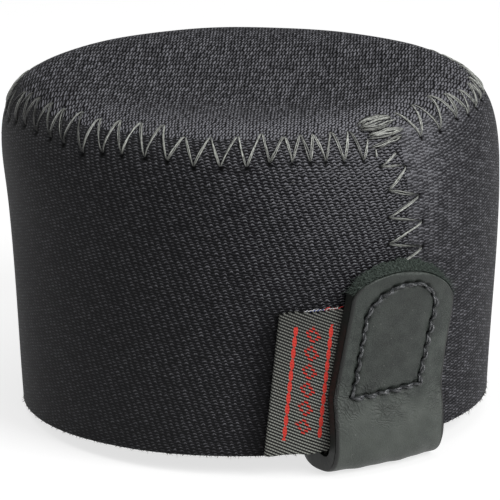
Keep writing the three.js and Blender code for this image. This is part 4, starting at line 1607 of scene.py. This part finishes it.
def beside_bend(shift):
    """A point 0.5 mm off the wall at the label's mid height, shifted round from its bend line."""
    azimuth = (label_bend(middle_up) + shift) / outline(middle_up)[0]
    return cap_point(azimuth, middle_up, 0.5 + 0 * middle_up)


bend_start, bend_end = beside_bend(0.45), beside_bend(-0.45)
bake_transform(label)
print("label bends over", round(float(np.linalg.norm(bend_start - bend_end)) * 1000, 2), "mm")

# %% [markdown]
# ## Cut ends of the label's threads
# Along its top edge the label was cut from a longer ribbon, and the coloured threads of the
# weave end there in short curls.

# %% Thread ends on the label's top edge
def plain_thread(name, colour):
    """A satin thread of one colour."""
    return Finish(name, Base_Color=colour, Roughness=0.5, Specular_IOR_Level=0.3).material


def thread_ends(rounds, length, radius):
    """Short ends along the top edge from the given round distances, curling up a little."""
    stations, sides, count = 6, 5, len(rounds)
    t = np.linspace(0.0, 1.0, stations)
    curl = np.random.default_rng(23).normal(0.0, 1.0, (count, 3))
    around = rounds[:, None] + length * t * (1 + 0.3 * curl[:, :1])
    up = label_ups[-1] + 0.06 + 0.10 * curl[:, 1:2] * t + 0.16 * np.sin(np.pi * t)
    up = up + 0.05 * (rounds[:, None] - rounds[0]) * t
    out = 0.55 + 0.12 * curl[:, 2:3] * t + 0.0 * around
    azimuth = around / outline(up)[0]
    radii = radius / 1000.0 * (1 - 0.3 * t) * np.ones((count, 1))
    paths, away = cap_point(azimuth, up, out), cap_normal(azimuth, up)
    points, faces, cloth, _ = tube_mesh(paths, away, radii, sides)
    colours = np.arange(count) % 2 * np.where(np.arange(count) < count // 2, 1, 2)
    kinds = np.concatenate([np.repeat(colours, (stations - 1) * sides), colours, colours])
    finishes = [
        plain_thread("thread_white", (0.62, 0.62, 0.60, 1)),
        plain_thread("thread_blue", (0.04, 0.07, 0.26, 1)),
        plain_thread("thread_red", (0.50, 0.03, 0.03, 1))]
    piece = dress(
        "label_thread_ends", points, faces, cloth, finishes, kinds, body=None)
    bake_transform(piece)
    return piece


thread_ends(np.linspace(-14.3, -9.0, 20), 0.62, 0.075)

# %% [markdown]
# ## Fibres and lint
# Cut cloth and leather are never clean. Fine fibres stand along the sloping tip of the strap,
# loops fray along the hem, and a few specks of lint lie on the cloth. Each kind is a spray of
# short curved hairs grown from points on a surface.

# %% Fibres
def fibre_finish(name, colour):
    """A plain matt hair, slightly uneven in tone."""
    finish = Finish(name, Roughness=0.7, Specular_IOR_Level=0.3)
    dull = tuple(0.45 * c for c in colour[:3]) + (1.0,)
    finish.colour(finish.mix(finish.noise(finish.cloth(), 0.9), dull, colour))
    return finish.material


def hairs(name, roots, normals, length, thickness, finish, droop=0.8):
    """Hairs from root points: root + length (t n + droop t^2 d), d a random sideways direction.

    A hair that would sink into the table lies on it."""
    count, stations = len(roots), 5
    t = np.linspace(0.0, 1.0, stations)[None, :, None]
    sway = random.normal(0.0, 1.0, (count, 1, 3))
    long = length * random.uniform(0.45, 1.25, (count, 1, 1)) / 1000.0
    sideways = random.normal(0.0, 0.6, (count, 1, 3))
    paths = roots[:, None] + long * (t * (normals[:, None] + 0.25 * sway) + droop * t**2 * sideways)
    paths[..., 2] = np.maximum(paths[..., 2], thickness / 1000.0)
    away = np.broadcast_to(np.array([0.31, 0.22, 0.93]), paths.shape)
    radii = thickness / 1000.0 * (1 - 0.7 * t[..., 0]) * np.ones((count, 1))
    points, faces, cloth, _ = tube_mesh(paths, away, radii, 3)
    return dress(name, points, faces, cloth, [finish])


flesh_hair = fibre_finish("flesh_hair", (0.085, 0.11, 0.095, 1))
rim_rows = np.flatnonzero(from_ends < tip_room + 5.5)
rim_columns = np.flatnonzero(strap_kinds == 1)
rim_index = (rim_rows[:, None] * columns + rim_columns[None]).ravel()
picked = random.choice(rim_index, 1500)
centre_line = strap_world.reshape(rows, columns, 3).mean(axis=1)[picked // columns]
outward = strap_world[picked] - centre_line
outward /= np.maximum(np.linalg.norm(outward, axis=-1, keepdims=True), 1e-9)
scatter = random.normal(0.0, 0.08, (len(picked), 3)) / 1000.0
flesh_roots = strap_world[picked] + scatter - outward * 0.0001
hairs("flesh_fibres", flesh_roots, outward, 0.62, 0.030, flesh_hair)

# %% [markdown]
# ## Hem and lint
# The hem is a raw cut with a short dark fringe of torn yarn. Hairs that mostly hang down stand
# for it here. The lint is paler and lies anywhere on the side that faces the eye.

# %% Hem and lint
pale_hair = fibre_finish("pale_hair", (0.22, 0.22, 0.21, 1))
hem_hair = fibre_finish("hem_hair", (0.15, 0.145, 0.13, 1))
hem_count, lint_count = 1500, 26
hem_azimuth = random.uniform(0.0, 2 * np.pi, hem_count)
hem_depth = random.uniform(0.0, 0.25, hem_count)
hem_roots = cap_point(hem_azimuth, np.full(hem_count, 0.05), -hem_depth)
hem_down = np.stack(
    [0.2 * np.sin(hem_azimuth), -0.2 * np.cos(hem_azimuth), np.full(hem_count, -0.6)], -1)
hairs("hem_fray", hem_roots, hem_down, 0.34, 0.052, hem_hair, droop=0.7)

lint_azimuth = random.uniform(-2.3, 0.9, lint_count)
lint_up = random.uniform(4.0, 74.0, lint_count)
lint_roots = cap_point(lint_azimuth, lint_up, np.full(lint_count, 0.03))
lint_out = 0.4 * cap_normal(lint_azimuth, lint_up)
hairs("lint", lint_roots, lint_out, 0.8, 0.03, pale_hair, droop=1.2)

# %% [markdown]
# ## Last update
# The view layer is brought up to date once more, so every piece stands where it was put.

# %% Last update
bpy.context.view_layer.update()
